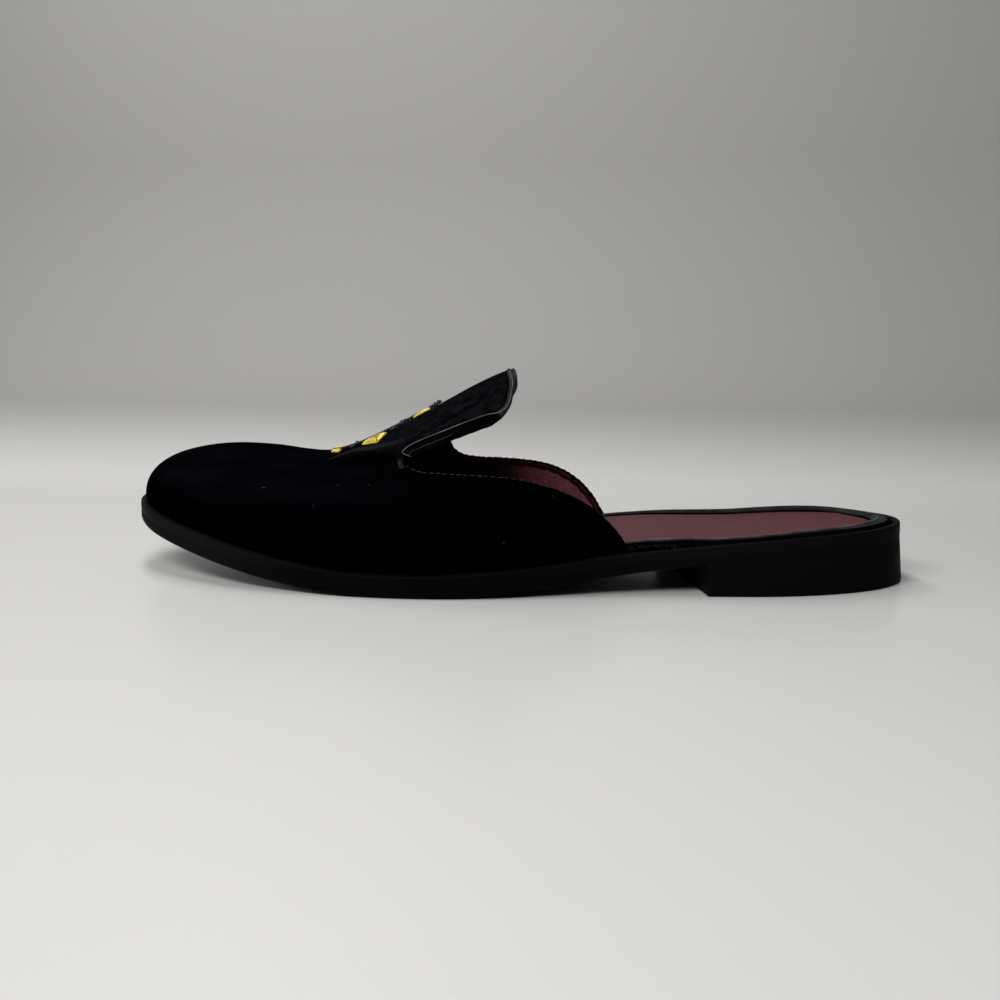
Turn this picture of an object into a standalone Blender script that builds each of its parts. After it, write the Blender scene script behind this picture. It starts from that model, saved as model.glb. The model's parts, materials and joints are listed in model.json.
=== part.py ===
"""Velvet mule loafer for the left foot.

The toe points to -X, the lateral side faces -Y and the floor is Z = 0. Sizes are in millimetres here and
become metres when a mesh is written. "from_toe" is a distance behind the sole's toe tip.
"""
import math

import bmesh
import bpy
import numpy as np

MM = 0.001
LATERAL, MEDIAL = -1, 1
SIDES = (LATERAL, MEDIAL)
GAP = 0.3  # air between two pieces that meet


def table(columns, *rows):
    """One array per named column."""
    return {name: np.array(values, dtype=float) for name, values in zip(columns, zip(*rows))}


# Sole
LENGTH = 300.0
TOE_ROUND = (72.0, 2.3)  # reach behind the tip, power of the rounding
HEEL_ROUND = (60.0, 2.1)
PLAN = table(
    ("from_toe", "middle", "half_width"),
    (0, 7.0, 43.0),
    (30, 5.0, 44.5),
    (60, 2.0, 48.0),
    (90, -0.5, 51.0),
    (115, -2.6, 50.8),
    (145, -4.8, 46.0),
    (175, -4.6, 39.5),
    (205, -3.2, 35.2),
    (235, -1.4, 34.2),
    (265, 1.0, 33.6),
    (300, 3.0, 33.0),
)
TOE_SPRING = 19.0
TOE_SPRING_POWER = 1.42
FLAT_FROM, FLAT_TO = 98.0, 132.0  # flat of the forefoot on the floor
ARCH = table(
    ("from_toe", "rise"),
    (132, 0.0),
    (150, 1.0),
    (170, 3.2),
    (190, 6.7),
    (210, 9.4),
    (230, 11.6),
    (260, 13.8),
    (300, 15.3),
)
SOLE_THICKNESS = table(
    ("from_toe", "thickness"),
    (0, 7.8),
    (40, 8.5),
    (80, 8.6),
    (115, 8.2),
    (150, 8.6),
    (190, 7.9),
    (215, 7.4),
    (300, 7.4),
)
WELT_HEIGHT = 3.4
WELT_LIP = 2.6  # rim of the welt round the sunk seat
SEAT_DEPTH = 2.2
SEAT_FROM, SEAT_TO = 198.0, 240.0  # where the seat sinks into the welt
GROOVE_DEPTH = (0.8, 0.4)  # at the toe and behind the ball
GROOVE_FADE = (60.0, 140.0)
SOLE_STATIONS = 40
HEEL_BREAST = {LATERAL: 226.0, MEDIAL: 207.0}
HEEL_LEAN = 1.4  # the heel's back stands further out at the floor than at the rim
TOE_TUCK = 1.1  # the sole's tip lies this far inside the outline
HEEL_STATIONS = 12

# Upper
FEATHER_INSET = 3.0  # from the sole's edge to the foot of the upper
WALL = 2.0
FAN_FROM = 26.0  # behind this the ridge follows the foot edge, ahead of it the sections fan round the toe
FAN_EASE = 20.0
CREST = table(
    ("from_toe", "offset", "height"),
    (46, 4.5, 47.1),
    (56, 4.0, 46.5),
    (66, 3.4, 45.1),
    (74, 2.8, 44.5),
    (82, 2.3, 45.3),
    (92, 1.8, 48.5),
    (104, 1.2, 54.2),
    (116, 0.8, 60.6),
    (128, 0.4, 67.4),
    (140, 0.2, 73.8),
    (150, 0.0, 78.0),
    (160, 0.0, 81.0),
    (200, 0.0, 85.0),
)
FULLNESS = table(
    ("from_toe", "lateral", "medial"),
    (0, 2.55, 2.55),
    (60, 2.4, 2.45),
    (100, 2.35, 2.6),
    (130, 2.4, 2.85),
    (150, 2.45, 2.9),
    (200, 2.5, 2.9),
)
NOTCH = {LATERAL: 113.5, MEDIAL: 119.5}
WING_END = {LATERAL: 196.5, MEDIAL: 185.4}
TOPLINE = {
    LATERAL: table(
        ("from_toe", "height"),
        (113.5, 46.6),
        (121, 44.8),
        (130, 44.5),
        (144, 44.0),
        (153, 43.4),
        (160, 42.4),
        (167, 40.6),
        (174, 38.2),
        (180, 35.2),
        (185, 32.0),
        (189, 28.2),
        (193, 23.7),
        (196.5, 18.4),
    ),
    MEDIAL: table(
        ("from_toe", "height"),
        (119.5, 41.8),
        (125, 39.5),
        (131, 38.9),
        (143, 39.0),
        (153, 38.7),
        (160, 38.0),
        (167, 36.1),
        (172.5, 33.2),
        (176.5, 29.9),
        (180, 25.8),
        (183, 21.0),
        (185.4, 17.0),
    ),
}
TONGUE_END = 147.8  # end of the wall on the ridge; the binding reaches further
TONGUE_CORNER = 3.2
TONGUE_SCOOP = {LATERAL: 4.1, MEDIAL: 0.6}  # how far the shoulders reach behind the end on the ridge
SCOOP_FROM = 126.0
SCOOP_LIFT = 0.7  # the shoulders lie below this lift
TONGUE = table(
    ("from_toe", "lateral", "medial"),
    (113, 36.0, 33.0),
    (123, 36.6, 32.8),
    (132, 36.8, 32.2),
    (141, 36.4, 31.2),
    (150, 35.2, 30.0),
)
NOTCH_ROUND = 2.0
NOTCH_STOPS = (0, 0.7, 2.0, 4.0, 7.0)  # sections behind the front of a notch
TOE_SPLIT = 0.5  # lift of the seam between the two column groups at the toe
WING_COLUMNS = 8
TONGUE_COLUMNS = 8
ROW_STEP = 6.5

# Trim
BINDING_WIDTH = 4.4  # along the tongue's sides
BINDING_REACH = 3.4  # the same width in plan
BINDING_END_WIDTH = 1.7  # across the tongue's end
BINDING_START = 1.5  # behind the notch
PIPING_RADIUS = 1.0
PIPING_START = 1.5
INSOLE_THICKNESS = table(("from_toe", "thickness"), (0, 2.4), (190, 2.4), (215, 1.9), (300, 1.9))
INSOLE_INSET = {"front": 5.8, "back": 6.6}
INSOLE_STEP = (160.0, 184.0)  # where the insole narrows to make room for its binding
RIM_INSET, RIM_WIDTH = 3.0, 3.2
RIM_RISE = table(
    ("from_toe", "rise"),
    (0, 0.9),
    (188, 0.9),
    (200, 0.95),
    (215, 1.5),
    (240, 2.0),
    (278, 2.0),
    (293, 1.2),
    (300, 0.9),
)
RIM_START = 2.6  # behind the end of a wing
EMBROIDERY_FROM, EMBROIDERY_TO = 76.0, 121.0
EMBROIDERY_LEAVES = 3
EMBROIDERY_WIDTH = (2.5, 20.0)  # half width between leaves and at a leaf's tip
EMBROIDERY_HEIGHT = 1.5


def along(rows, column, t):
    """Smooth curve through one column of a table, read at distances from the toe."""
    knots, values = rows["from_toe"], rows[column]
    slopes = np.gradient(values, knots)
    t = np.clip(t, knots[0], knots[-1])
    k = np.clip(np.searchsorted(knots, t) - 1, 0, len(knots) - 2)
    span = knots[k + 1] - knots[k]
    u = (t - knots[k]) / span
    start = (1 + 2 * u) * values[k] + u * span * slopes[k]
    end = (3 - 2 * u) * values[k + 1] + (u - 1) * span * slopes[k + 1]
    return (1 - u) ** 2 * start + u ** 2 * end


def ease(low, high, t):
    """0 before low, 1 after high, smooth between."""
    u = np.clip((t - low) / (high - low), 0, 1)
    return u * u * (3 - 2 * u)


def rounding(distance, reach, power):
    """Fraction of the full width at a distance from an end of the sole."""
    left = np.clip(1 - distance / reach, 0, 1)
    return (1 - left ** power) ** (1 / power)


def fine_edge():
    """Close-set points of the sole's outline with outward normals, for each side from toe to heel."""
    turn = np.linspace(0, math.pi, 3001)
    t = LENGTH * (1 - np.cos(turn)) / 2
    half = along(PLAN, "half_width", t) * rounding(t, *TOE_ROUND) * rounding(LENGTH - t, *HEEL_ROUND)
    middle = along(PLAN, "middle", t)
    sides = [np.column_stack([t - LENGTH / 2, middle + side * half]) for side in SIDES]
    loop = np.concatenate([sides[0], sides[1][-2:0:-1]])
    loop[:, 1] -= (loop[:, 1].max() + loop[:, 1].min()) / 2
    tangent = np.roll(loop, -1, axis=0) - np.roll(loop, 1, axis=0)
    normal = np.column_stack([tangent[:, 1], -tangent[:, 0]])
    normal /= np.linalg.norm(normal, axis=1)[:, None]
    fine = np.column_stack([loop, normal])
    lateral = fine[:len(t)]
    medial = np.concatenate([fine[:1], fine[:len(t) - 2:-1]])
    return {"t": t, LATERAL: lateral, MEDIAL: medial, "shift": sides[0][0, 1] - loop[0, 1]}


EDGE = fine_edge()


def edge(side, t, inset=0.0):
    """Plan point of the sole's outline, moved in by an inset."""
    x, y, nx, ny = (np.interp(t, EDGE["t"], EDGE[side][:, k]) for k in range(4))
    return x - inset * nx, y - inset * ny


def from_toe(x):
    return x + LENGTH / 2


def stations(count, end=LENGTH):
    """Distances from the toe that are evenly spread along the lateral edge."""
    xy = EDGE[LATERAL][:, :2]
    run = np.concatenate([[0], np.cumsum(np.linalg.norm(np.diff(xy, axis=0), axis=1))])
    total = np.interp(end, EDGE["t"], run)
    return np.interp(np.linspace(0, total, count + 1), run, EDGE["t"])


def sole_bottom(t):
    toe = TOE_SPRING * np.clip((FLAT_FROM - t) / FLAT_FROM, 0, None) ** TOE_SPRING_POWER
    return np.where(t > FLAT_TO, along(ARCH, "rise", t), toe)


def sole_top(t):
    return sole_bottom(t) + along(SOLE_THICKNESS, "thickness", t)


def welt_joint(t):
    return sole_top(t) - WELT_HEIGHT


def seat(t):
    """Face that the insole lies on; behind the wings it is sunk inside the welt's rim."""
    return sole_top(t) - SEAT_DEPTH * ease(SEAT_FROM, SEAT_TO, t)


def insole_bed(t):
    return seat(t) + GAP + along(INSOLE_THICKNESS, "thickness", t)


def lean(t):
    """Inset that all layers of the sole share, at the leaning back and at the toe tip."""
    return HEEL_LEAN * ease(225, 285, t) + TOE_TUCK * (1 - ease(0, 16, t))


def groove(t):
    """Inset of the groove between welt and outsole."""
    front, back = GROOVE_DEPTH
    return front + (back - front) * ease(*GROOVE_FADE, t) + lean(t)


def finish(name, points, faces, color, roughness=0.6):
    """Object from points in millimetres, with its own material."""
    mesh = bpy.data.meshes.new(name)
    mesh.from_pydata([tuple(p * MM) for p in points], [], faces)
    mesh.polygons.foreach_set("use_smooth", [True] * len(mesh.polygons))
    piece = bpy.data.objects.new(name, mesh)
    bpy.context.scene.collection.objects.link(piece)
    material = bpy.data.materials.new(name)
    material.use_nodes = True
    shader = material.node_tree.nodes["Principled BSDF"]
    shader.inputs["Base Color"].default_value = (*color, 1)
    shader.inputs["Roughness"].default_value = roughness
    mesh.materials.append(material)
    return piece


def weld(piece):
    """Join points that lie together and face the skin outward."""
    skin = bmesh.new()
    skin.from_mesh(piece.data)
    bmesh.ops.remove_doubles(skin, verts=skin.verts, dist=0.01 * MM)
    bmesh.ops.recalc_face_normals(skin, faces=skin.faces)
    skin.to_mesh(piece.data)
    skin.free()
    return piece


def loft(name, rings, color, closed_rings=True, caps=None, roughness=0.6):
    """Solid through a list of rings with the same count; caps are faces for the first and last ring."""
    count = len(rings[0])
    faces = []
    for level in range(len(rings) - 1):
        low, high = level * count, (level + 1) * count
        for k in range(count if closed_rings else count - 1):
            after = (k + 1) % count
            faces.append((low + k, low + after, high + after, high + k))
    caps = caps or [tuple(range(count))]
    last = (len(rings) - 1) * count
    faces += [tuple(reversed(cap)) for cap in caps]
    faces += [tuple(k + last for k in cap) for cap in caps]
    return weld(finish(name, np.concatenate(rings), faces, color, roughness))


def ladder(count, tip_at_start=True):
    """Cap faces across a ring that runs down the lateral side and back up the medial one."""
    total = 2 * count if tip_at_start else 2 * count + 1
    medial = [(total - k) % total if tip_at_start else total - 1 - k for k in range(count)] + [count]
    rungs = [(k, k + 1, medial[k + 1], medial[k]) for k in range(count)]
    return [tuple(dict.fromkeys(rung)) for rung in rungs]


def sole_ring(t, inset, height):
    """Ring all round the sole; inset and height are functions of the distance from the toe."""
    parts = []
    for side, stops in ((LATERAL, t), (MEDIAL, t[-2:0:-1])):
        x, y = edge(side, stops, inset(stops))
        parts.append(np.column_stack([x, y, height(from_toe(x))]))
    return np.concatenate(parts)


def layer(name, profile, color, roughness=0.6):
    """Layer of the sole from a profile of (inset, height) functions, bottom to top."""
    t = stations(SOLE_STATIONS)
    rings = [sole_ring(t, inset, height) for inset, height in profile]
    return loft(name, rings, color, caps=ladder(SOLE_STATIONS), roughness=roughness)


def rise(base, amount):
    return lambda t: base(t) + amount


def inset_by(amount):
    return lambda t: amount + lean(t)


def build_outsole():
    profile = (
        (inset_by(2.2), sole_bottom),
        (inset_by(0.5), rise(sole_bottom, 0.7)),
        (inset_by(0.0), rise(sole_bottom, 2.0)),
        (inset_by(0.0), rise(welt_joint, -0.8)),
        (groove, rise(welt_joint, -GAP / 2)),
    )
    return layer("outsole", profile, (0.016, 0.016, 0.018))


def build_welt():
    profile = (
        (groove, rise(welt_joint, GAP / 2)),
        (inset_by(0.0), rise(welt_joint, 0.8)),
        (inset_by(0.0), rise(sole_top, -1.1)),
        (inset_by(0.9), sole_top),
        (inset_by(WELT_LIP - 0.2), sole_top),
        (inset_by(WELT_LIP), seat),
    )
    return layer("welt", profile, (0.022, 0.022, 0.025), 0.5)


def build_heel():
    """Block under the seat, with its own flat on the floor."""
    spread = np.sin(np.linspace(0, math.pi / 2, HEEL_STATIONS + 1))
    joint = rise(sole_bottom, -GAP)
    profile = (
        (lambda t: 1.0 + 0 * t, lambda t: 0 * t),
        (lambda t: 0.1 + 0 * t, lambda t: 0.9 + 0 * t),
        (lambda t: 0.6 * lean(t), lambda t: 0.6 * joint(t)),
        (lean, joint),
    )
    rings = []
    for inset, height in profile:
        parts = []
        for side, stops in ((LATERAL, spread), (MEDIAL, spread[-2::-1])):
            front = HEEL_BREAST[side] + inset(HEEL_BREAST[side])
            t = front + (LENGTH - front) * stops
            x, y = edge(side, t, inset(t))
            parts.append(np.column_stack([x, y, height(from_toe(x))]))
        rings.append(np.concatenate(parts))
    return loft("heel", rings, (0.016, 0.016, 0.018), caps=ladder(HEEL_STATIONS, tip_at_start=False))


def build_insole():
    """Board and sock; it fits inside the upper in front and inside its own binding at the back."""
    def inset(extra):
        front, back = INSOLE_INSET["front"], INSOLE_INSET["back"]
        return lambda t: front + (back - front) * ease(*INSOLE_STEP, t) + lean(t) + extra

    profile = (
        (inset(0.8), rise(seat, GAP)),
        (inset(0.0), rise(seat, GAP + 0.5)),
        (inset(0.0), rise(insole_bed, -0.5)),
        (inset(0.9), insole_bed),
    )
    return layer("insole", profile, (0.13, 0.02, 0.03), 0.7)


def rim_path():
    """Stops round the open end of the insole, from the lateral wing to the medial one."""
    t = stations(SOLE_STATIONS)
    for side in SIDES:
        start = WING_END[side] + RIM_START
        stops = np.concatenate([[start], t[t > start + 1.0]])
        for stop in stops if side == LATERAL else stops[-2::-1]:
            yield side, stop


def build_insole_binding():
    """Rounded strip round the insole where no upper covers it."""
    low, high = RIM_INSET, RIM_INSET + RIM_WIDTH
    profile = (
        (high, seat, GAP, 0),
        (high, insole_bed, 0, 0.3),
        (high - 0.8, insole_bed, 0, 1),
        (low + 1.0, insole_bed, 0, 1),
        (low, insole_bed, -0.4, 0),
        (low, seat, GAP, 0),
    )
    rings = []
    for side, t in rim_path():
        ring = []
        for inset, base, extra, share in profile:
            x, y = edge(side, t, inset + lean(t))
            ring.append((x, y, base(from_toe(x)) + extra + share * along(RIM_RISE, "rise", t)))
        rings.append(np.array(ring))
    return loft("insole_binding", rings, (0.02, 0.02, 0.022))


def side_name(side):
    return "lateral" if side == LATERAL else "medial"


def foot_line(side, t):
    """Foot of the upper on the welt."""
    x, y = edge(side, t, FEATHER_INSET)
    return np.stack([x, y, sole_top(from_toe(x)) + GAP], -1)


def crest_line(t):
    """Ridge point that the section at t climbs to; the sections of the toe share one point."""
    behind = np.clip(t - FAN_FROM, 0, None)
    spine = FAN_FROM + np.hypot(behind, FAN_EASE)
    offset = along(CREST, "offset", spine) - EDGE["shift"]
    return np.stack([spine - LENGTH / 2, offset, along(CREST, "height", spine)], -1)


def shell(side, t, lift):
    """Point on the upper's outer face; lift runs from 0 at the sole to 1 at the ridge."""
    t, lift = np.broadcast_arrays(np.asarray(t, float), np.asarray(lift, float))
    power = 2 / along(FULLNESS, side_name(side), t)
    inward = 1 - np.cos(lift * math.pi / 2) ** power
    upward = np.sin(lift * math.pi / 2) ** power
    foot, crest = foot_line(side, t), crest_line(t)
    return foot + (crest - foot) * np.stack([inward, inward, upward], -1)


def lift_at_height(side, t, height):
    """Lift at which a section reaches a height."""
    foot, crest = foot_line(side, t)[..., 2], crest_line(t)[..., 2]
    part = np.clip((height - foot) / (crest - foot), 0, 1)
    return np.arcsin(part ** (along(FULLNESS, side_name(side), t) / 2)) * 2 / math.pi


def lift_at_width(side, t, width):
    """Lift at which a section is a given width away from the ridge, in plan."""
    reach = np.linalg.norm((foot_line(side, t) - crest_line(t))[..., :2], axis=-1)
    part = np.clip(width / reach, 0, 1)
    return np.arccos(part ** (along(FULLNESS, side_name(side), t) / 2)) * 2 / math.pi


def notch_lift(side):
    """Middle of the notch between the tongue and the wing."""
    t = np.array(NOTCH[side])
    wing = lift_at_height(side, t, along(TOPLINE[side], "height", t))
    tongue = lift_at_width(side, t, along(TONGUE, side_name(side), t))
    return (wing + tongue) / 2


def opening(side, t):
    """0 at the front of the notch, 1 where it is fully open."""
    return 1 - np.exp(-np.sqrt(np.clip(t - NOTCH[side], 0, None) / NOTCH_ROUND) * 1.6)


def wing_lift(side, t):
    """Top edge of the wing's wall, below the piping."""
    height = along(TOPLINE[side], "height", t) - 2 * PIPING_RADIUS
    open_lift = lift_at_height(side, t, height)
    return notch_lift(side) + (open_lift - notch_lift(side)) * opening(side, t)


def tongue_lift(side, t):
    """Side edge of the tongue's wall, inside its binding."""
    width = along(TONGUE, side_name(side), t) - BINDING_REACH
    corner = np.clip((t - TONGUE_END + TONGUE_CORNER) / TONGUE_CORNER, 0, 1)
    width = width - TONGUE_CORNER * (1 - np.sqrt(1 - corner ** 2))
    open_lift = lift_at_width(side, t, width)
    return notch_lift(side) + (open_lift - notch_lift(side)) * opening(side, t)


def scooped(side, t, lift):
    """Distance from the toe of a tongue section; towards the tongue's end its shoulder runs further back."""
    shoulder = 1 - ease(SCOOP_LIFT, 1, lift)
    return t + TONGUE_SCOOP[side] * shoulder * ease(SCOOP_FROM, TONGUE_END, t)


def shared_rows():
    """Section stops from the toe to the tongue's end, with close ones at the notches and the corners."""
    plain = stations(int(230 / ROW_STEP), TONGUE_END)
    notch = np.array(NOTCH_STOPS)
    corner = TONGUE_END - TONGUE_CORNER * np.array([1, 0.5, 0.15, 0.03, 0])
    special = np.concatenate([NOTCH[LATERAL] + notch, NOTCH[MEDIAL] + notch, corner])
    plain = [t for t in plain if np.abs(special - t).min() > 0.4 * ROW_STEP]
    return np.sort(np.concatenate([plain, special]))


def tongue_rows(side):
    """Section stops from a notch to the tongue's end."""
    rows = shared_rows()
    return rows[rows >= NOTCH[side]]


def wing_rows(side):
    """Section stops of a wing, from its notch to its end."""
    run = np.linspace(0, 1, 11)[1:] ** 0.8
    return np.concatenate([tongue_rows(side), TONGUE_END + (WING_END[side] - TONGUE_END) * run])


def patch(side, t, low, high, columns, tongue=False):
    """Grid of shell points between two lifts."""
    part = np.linspace(0, 1, columns + 1)
    lift = low[:, None] + (high - low)[:, None] * part
    t = scooped(side, t[:, None], lift) if tongue else t[:, None]
    return shell(side, t, lift)


def upper_patches():
    rows = shared_rows()
    for side in SIDES:
        front = rows[rows <= NOTCH[side]]
        behind = tongue_rows(side)
        wing = wing_rows(side)
        split = TOE_SPLIT + (notch_lift(side) - TOE_SPLIT) * ease(20, NOTCH[side], front)
        yield side, patch(side, front, 0 * split, split, WING_COLUMNS)
        yield side, patch(side, front, split, 0 * split + 1, TONGUE_COLUMNS)
        yield side, patch(side, wing, 0 * wing, wing_lift(side, wing), WING_COLUMNS)
        yield side, patch(side, behind, tongue_lift(side, behind), 0 * behind + 1, TONGUE_COLUMNS, tongue=True)


def build_upper():
    """Vamp, tongue and wings as one wall, open underneath, at the throat and at the back."""
    points, faces = [], []
    for side, grid in upper_patches():
        rows, columns = grid.shape[:2]
        first = len(points)
        points.extend(grid.reshape(-1, 3))
        for i in range(rows - 1):
            for j in range(columns - 1):
                a = first + i * columns + j
                quad = (a, a + columns, a + columns + 1, a + 1)
                faces.append(quad if side == LATERAL else quad[::-1])
    upper = finish("upper", points, faces, (0.01, 0.01, 0.014), 0.9)
    skin = bmesh.new()
    skin.from_mesh(upper.data)
    bmesh.ops.remove_doubles(skin, verts=skin.verts, dist=0.02 * MM)
    skin.to_mesh(upper.data)
    skin.free()
    wall = upper.modifiers.new("wall", "SOLIDIFY")
    wall.thickness = WALL * MM
    wall.offset = -1
    wall.use_even_offset = True
    wall.use_quality_normals = True
    return upper


def face_frame(side, t, lift):
    """Outer face point and its outward normal."""
    step = 0.01
    here = shell(side, t, lift)
    up = shell(side, t, np.minimum(lift + step, 1)) - shell(side, t, np.maximum(lift - step, 0))
    back = shell(side, t + 0.2, lift) - shell(side, t - 0.2, lift)
    normal = np.cross(back, up) * -side
    return here, normal / np.linalg.norm(normal, axis=-1)[..., None]


def trim(name, path, normals, profile, outward_sign, color, roughness=0.5):
    """Strip along an edge of the upper; the profile is (outward from the edge, along the normal), each as one
    number or as one for each point of the path."""
    tangent = np.gradient(path, axis=0)
    tangent /= np.linalg.norm(tangent, axis=1)[:, None]
    outward = np.cross(tangent, normals) * outward_sign
    outward /= np.linalg.norm(outward, axis=1)[:, None]
    rings = [path + np.reshape(a, (-1, 1)) * outward + np.reshape(b, (-1, 1)) * normals for a, b in profile]
    rings = [np.array(ring) for ring in zip(*rings)]
    return loft(name, rings, color, roughness=roughness)


def tongue_edge():
    """Edge of the tongue's wall from the lateral notch round the end to the medial notch, with its normals and
    how far each point belongs to the end."""
    points, normals, shares = [], [], []
    for side in SIDES:
        t = tongue_rows(side)
        t = t[t >= NOTCH[side] + BINDING_START]
        lift = tongue_lift(side, t)
        across = lift[-1] + (1 - lift[-1]) * np.linspace(0, 1, TONGUE_COLUMNS + 1)[1:]
        shares.append(np.concatenate([ease(TONGUE_END - 2 * TONGUE_CORNER, TONGUE_END, t), 1 + 0 * across]))
        t = np.concatenate([t, np.full(len(across), TONGUE_END)])
        lift = np.concatenate([lift, across])
        here, normal = face_frame(side, scooped(side, t, lift), np.minimum(lift, 0.995))
        here[-1] = shell(side, t[-1], 1.0)
        points.append(here)
        normals.append(normal)
    return tuple(np.concatenate([both[0], both[1][-2::-1]]) for both in (points, normals, shares))


def build_tongue_binding():
    """Strip folded over the tongue's edge, broad along its sides and slim across its end."""
    far, near = GAP + BINDING_WIDTH, GAP + BINDING_END_WIDTH
    along_side = (
        (GAP, -WALL - 0.3),
        (GAP, 0.3),
        (0.4 * far, 0.55),
        (0.8 * far, 0.2),
        (far, -0.6),
        (far, -1.4),
        (0.8 * far, -WALL - 0.2),
        (0.4 * far, -WALL - 0.5),
    )
    across_end = (
        (GAP, -WALL - 0.2),
        (GAP, 0.1),
        (0.4 * near, 0.15),
        (0.8 * near, -0.25),
        (near, -0.8),
        (near, -1.4),
        (0.8 * near, -WALL - 0.1),
        (0.4 * near, -WALL - 0.3),
    )
    path, normals, end = tongue_edge()
    profile = [(a + (c - a) * end, b + (d - b) * end) for (a, b), (c, d) in zip(along_side, across_end)]
    return trim("tongue_binding", path, normals, profile, 1, (0.025, 0.025, 0.028), 0.35)


def build_piping(side):
    """Round edge along the top of a wing."""
    t = wing_rows(side)
    t = t[t >= NOTCH[side] + PIPING_START]
    path, normals = face_frame(side, t, wing_lift(side, t))
    turn = np.linspace(0, 2 * math.pi, 8, endpoint=False)
    profile = [(GAP + PIPING_RADIUS * (1 - math.cos(a)), -WALL / 2 + PIPING_RADIUS * math.sin(a)) for a in turn]
    return trim(f"topline_piping_{side_name(side)}", path, normals, profile, side, (0.02, 0.02, 0.024))


def embroidery_half_width(t):
    """Leaves in pairs along a stem, as one lobed outline."""
    run = (t - EMBROIDERY_FROM) / (EMBROIDERY_TO - EMBROIDERY_FROM)
    leaf = np.abs(np.sin(math.pi * EMBROIDERY_LEAVES * np.clip(run, 0, 1))) ** 0.8
    narrow, wide = EMBROIDERY_WIDTH
    taper = np.sin(math.pi * np.clip(0.18 + 0.72 * run, 0, 1))
    return narrow + (wide - narrow) * leaf * taper


def build_embroidery():
    """Raised spray of leaves that follows the upper's own face."""
    t = np.linspace(EMBROIDERY_FROM, EMBROIDERY_TO, 9 * EMBROIDERY_LEAVES + 1)
    half = embroidery_half_width(t)
    rings = []
    for stop, width in zip(t, half):
        under, over = [], []
        for part in (-1, -0.75, -0.4, 0, 0.4, 0.75, 1):
            side = MEDIAL if part > 0 else LATERAL
            lift = min(float(lift_at_width(side, np.array(stop), abs(part) * width)), 0.995)
            here, normal = face_frame(side, np.array(stop), np.array(lift))
            under.append(here + GAP * normal)
            over.append(here + (GAP + EMBROIDERY_HEIGHT * (1 - 0.55 * part * part)) * normal)
        rings.append(np.array(under + over[::-1]))
    return loft("embroidery", rings, (0.45, 0.3, 0.1), roughness=0.4)


def clear_scene():
    for piece in list(bpy.data.objects):
        bpy.data.objects.remove(piece, do_unlink=True)


def build():
    clear_scene()
    build_outsole()
    build_welt()
    build_heel()
    build_insole()
    build_insole_binding()
    build_upper()
    build_tongue_binding()
    for side in SIDES:
        build_piping(side)
    build_embroidery()


build()
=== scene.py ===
"""Velvet mule loafer for the left foot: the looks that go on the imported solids.

The toe points to -X, the lateral side faces -Y and the floor is Z = 0. Sizes are in millimetres here and
become metres when a mesh is written. "from_toe" is a distance behind the sole's toe tip.
"""
import json
import math

import bmesh
import bpy
import numpy as np
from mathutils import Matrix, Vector, noise

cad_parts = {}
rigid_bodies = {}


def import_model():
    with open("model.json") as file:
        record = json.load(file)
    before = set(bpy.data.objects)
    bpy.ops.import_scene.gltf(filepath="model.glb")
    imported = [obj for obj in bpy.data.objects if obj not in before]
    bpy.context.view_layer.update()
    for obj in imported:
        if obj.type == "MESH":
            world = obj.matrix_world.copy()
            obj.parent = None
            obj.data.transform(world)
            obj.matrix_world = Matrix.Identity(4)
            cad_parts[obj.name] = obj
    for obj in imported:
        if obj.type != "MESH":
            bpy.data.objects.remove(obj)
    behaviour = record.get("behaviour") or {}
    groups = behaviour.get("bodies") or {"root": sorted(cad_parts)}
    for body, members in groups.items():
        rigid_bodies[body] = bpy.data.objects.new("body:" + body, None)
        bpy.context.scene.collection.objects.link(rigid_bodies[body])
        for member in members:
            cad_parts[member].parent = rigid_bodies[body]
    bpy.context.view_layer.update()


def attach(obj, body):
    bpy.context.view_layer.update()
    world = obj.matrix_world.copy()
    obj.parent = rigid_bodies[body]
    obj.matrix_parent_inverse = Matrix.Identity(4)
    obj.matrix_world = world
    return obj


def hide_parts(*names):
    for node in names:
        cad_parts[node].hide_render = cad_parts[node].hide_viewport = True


MM = 0.001
LATERAL, MEDIAL = -1, 1
SIDES = (LATERAL, MEDIAL)
SIDE_NAMES = {LATERAL: "lateral", MEDIAL: "medial"}
GAP = 0.3


def table(columns, *rows):
    """One array per column."""
    return {name: np.array(values, dtype=float) for name, values in zip(columns, zip(*rows))}


# Form of the sole and the upper, the same as the solids
LENGTH = 300.0
TOE_ROUND = (72.0, 2.3)
HEEL_ROUND = (60.0, 2.1)
PLAN = table(
    ("from_toe", "middle", "half_width"),
    (0, 7.0, 43.0), (30, 5.0, 44.5), (60, 2.0, 48.0), (90, -0.5, 51.0), (115, -2.6, 50.8),
    (145, -4.8, 46.0), (175, -4.6, 39.5), (205, -3.2, 35.2), (235, -1.4, 34.2), (265, 1.0, 33.6),
    (300, 3.0, 33.0),
)
TOE_SPRING = 19.0
TOE_SPRING_POWER = 1.42
FLAT_FROM, FLAT_TO = 98.0, 132.0
ARCH = table(
    ("from_toe", "rise"),
    (132, 0.0), (150, 1.0), (170, 3.2), (190, 6.7), (210, 9.4), (230, 11.6), (260, 13.8), (300, 15.3),
)
SOLE_THICKNESS = table(
    ("from_toe", "thickness"),
    (0, 7.8), (40, 8.5), (80, 8.6), (115, 8.2), (150, 8.6), (190, 7.9), (215, 7.4), (300, 7.4),
)
WELT_HEIGHT = 3.4
WELT_LIP = 2.6
SEAT_DEPTH = 2.2
SEAT_FROM, SEAT_TO = 198.0, 240.0
HEEL_BREAST = {LATERAL: 226.0, MEDIAL: 207.0}
HEEL_LEAN, HEEL_LEAN_REACH = 1.4, (225.0, 285.0)
TOE_TUCK, TOE_TUCK_REACH = 1.1, (0.0, 16.0)
FEATHER_INSET = 3.0
WALL = 2.0
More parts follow.
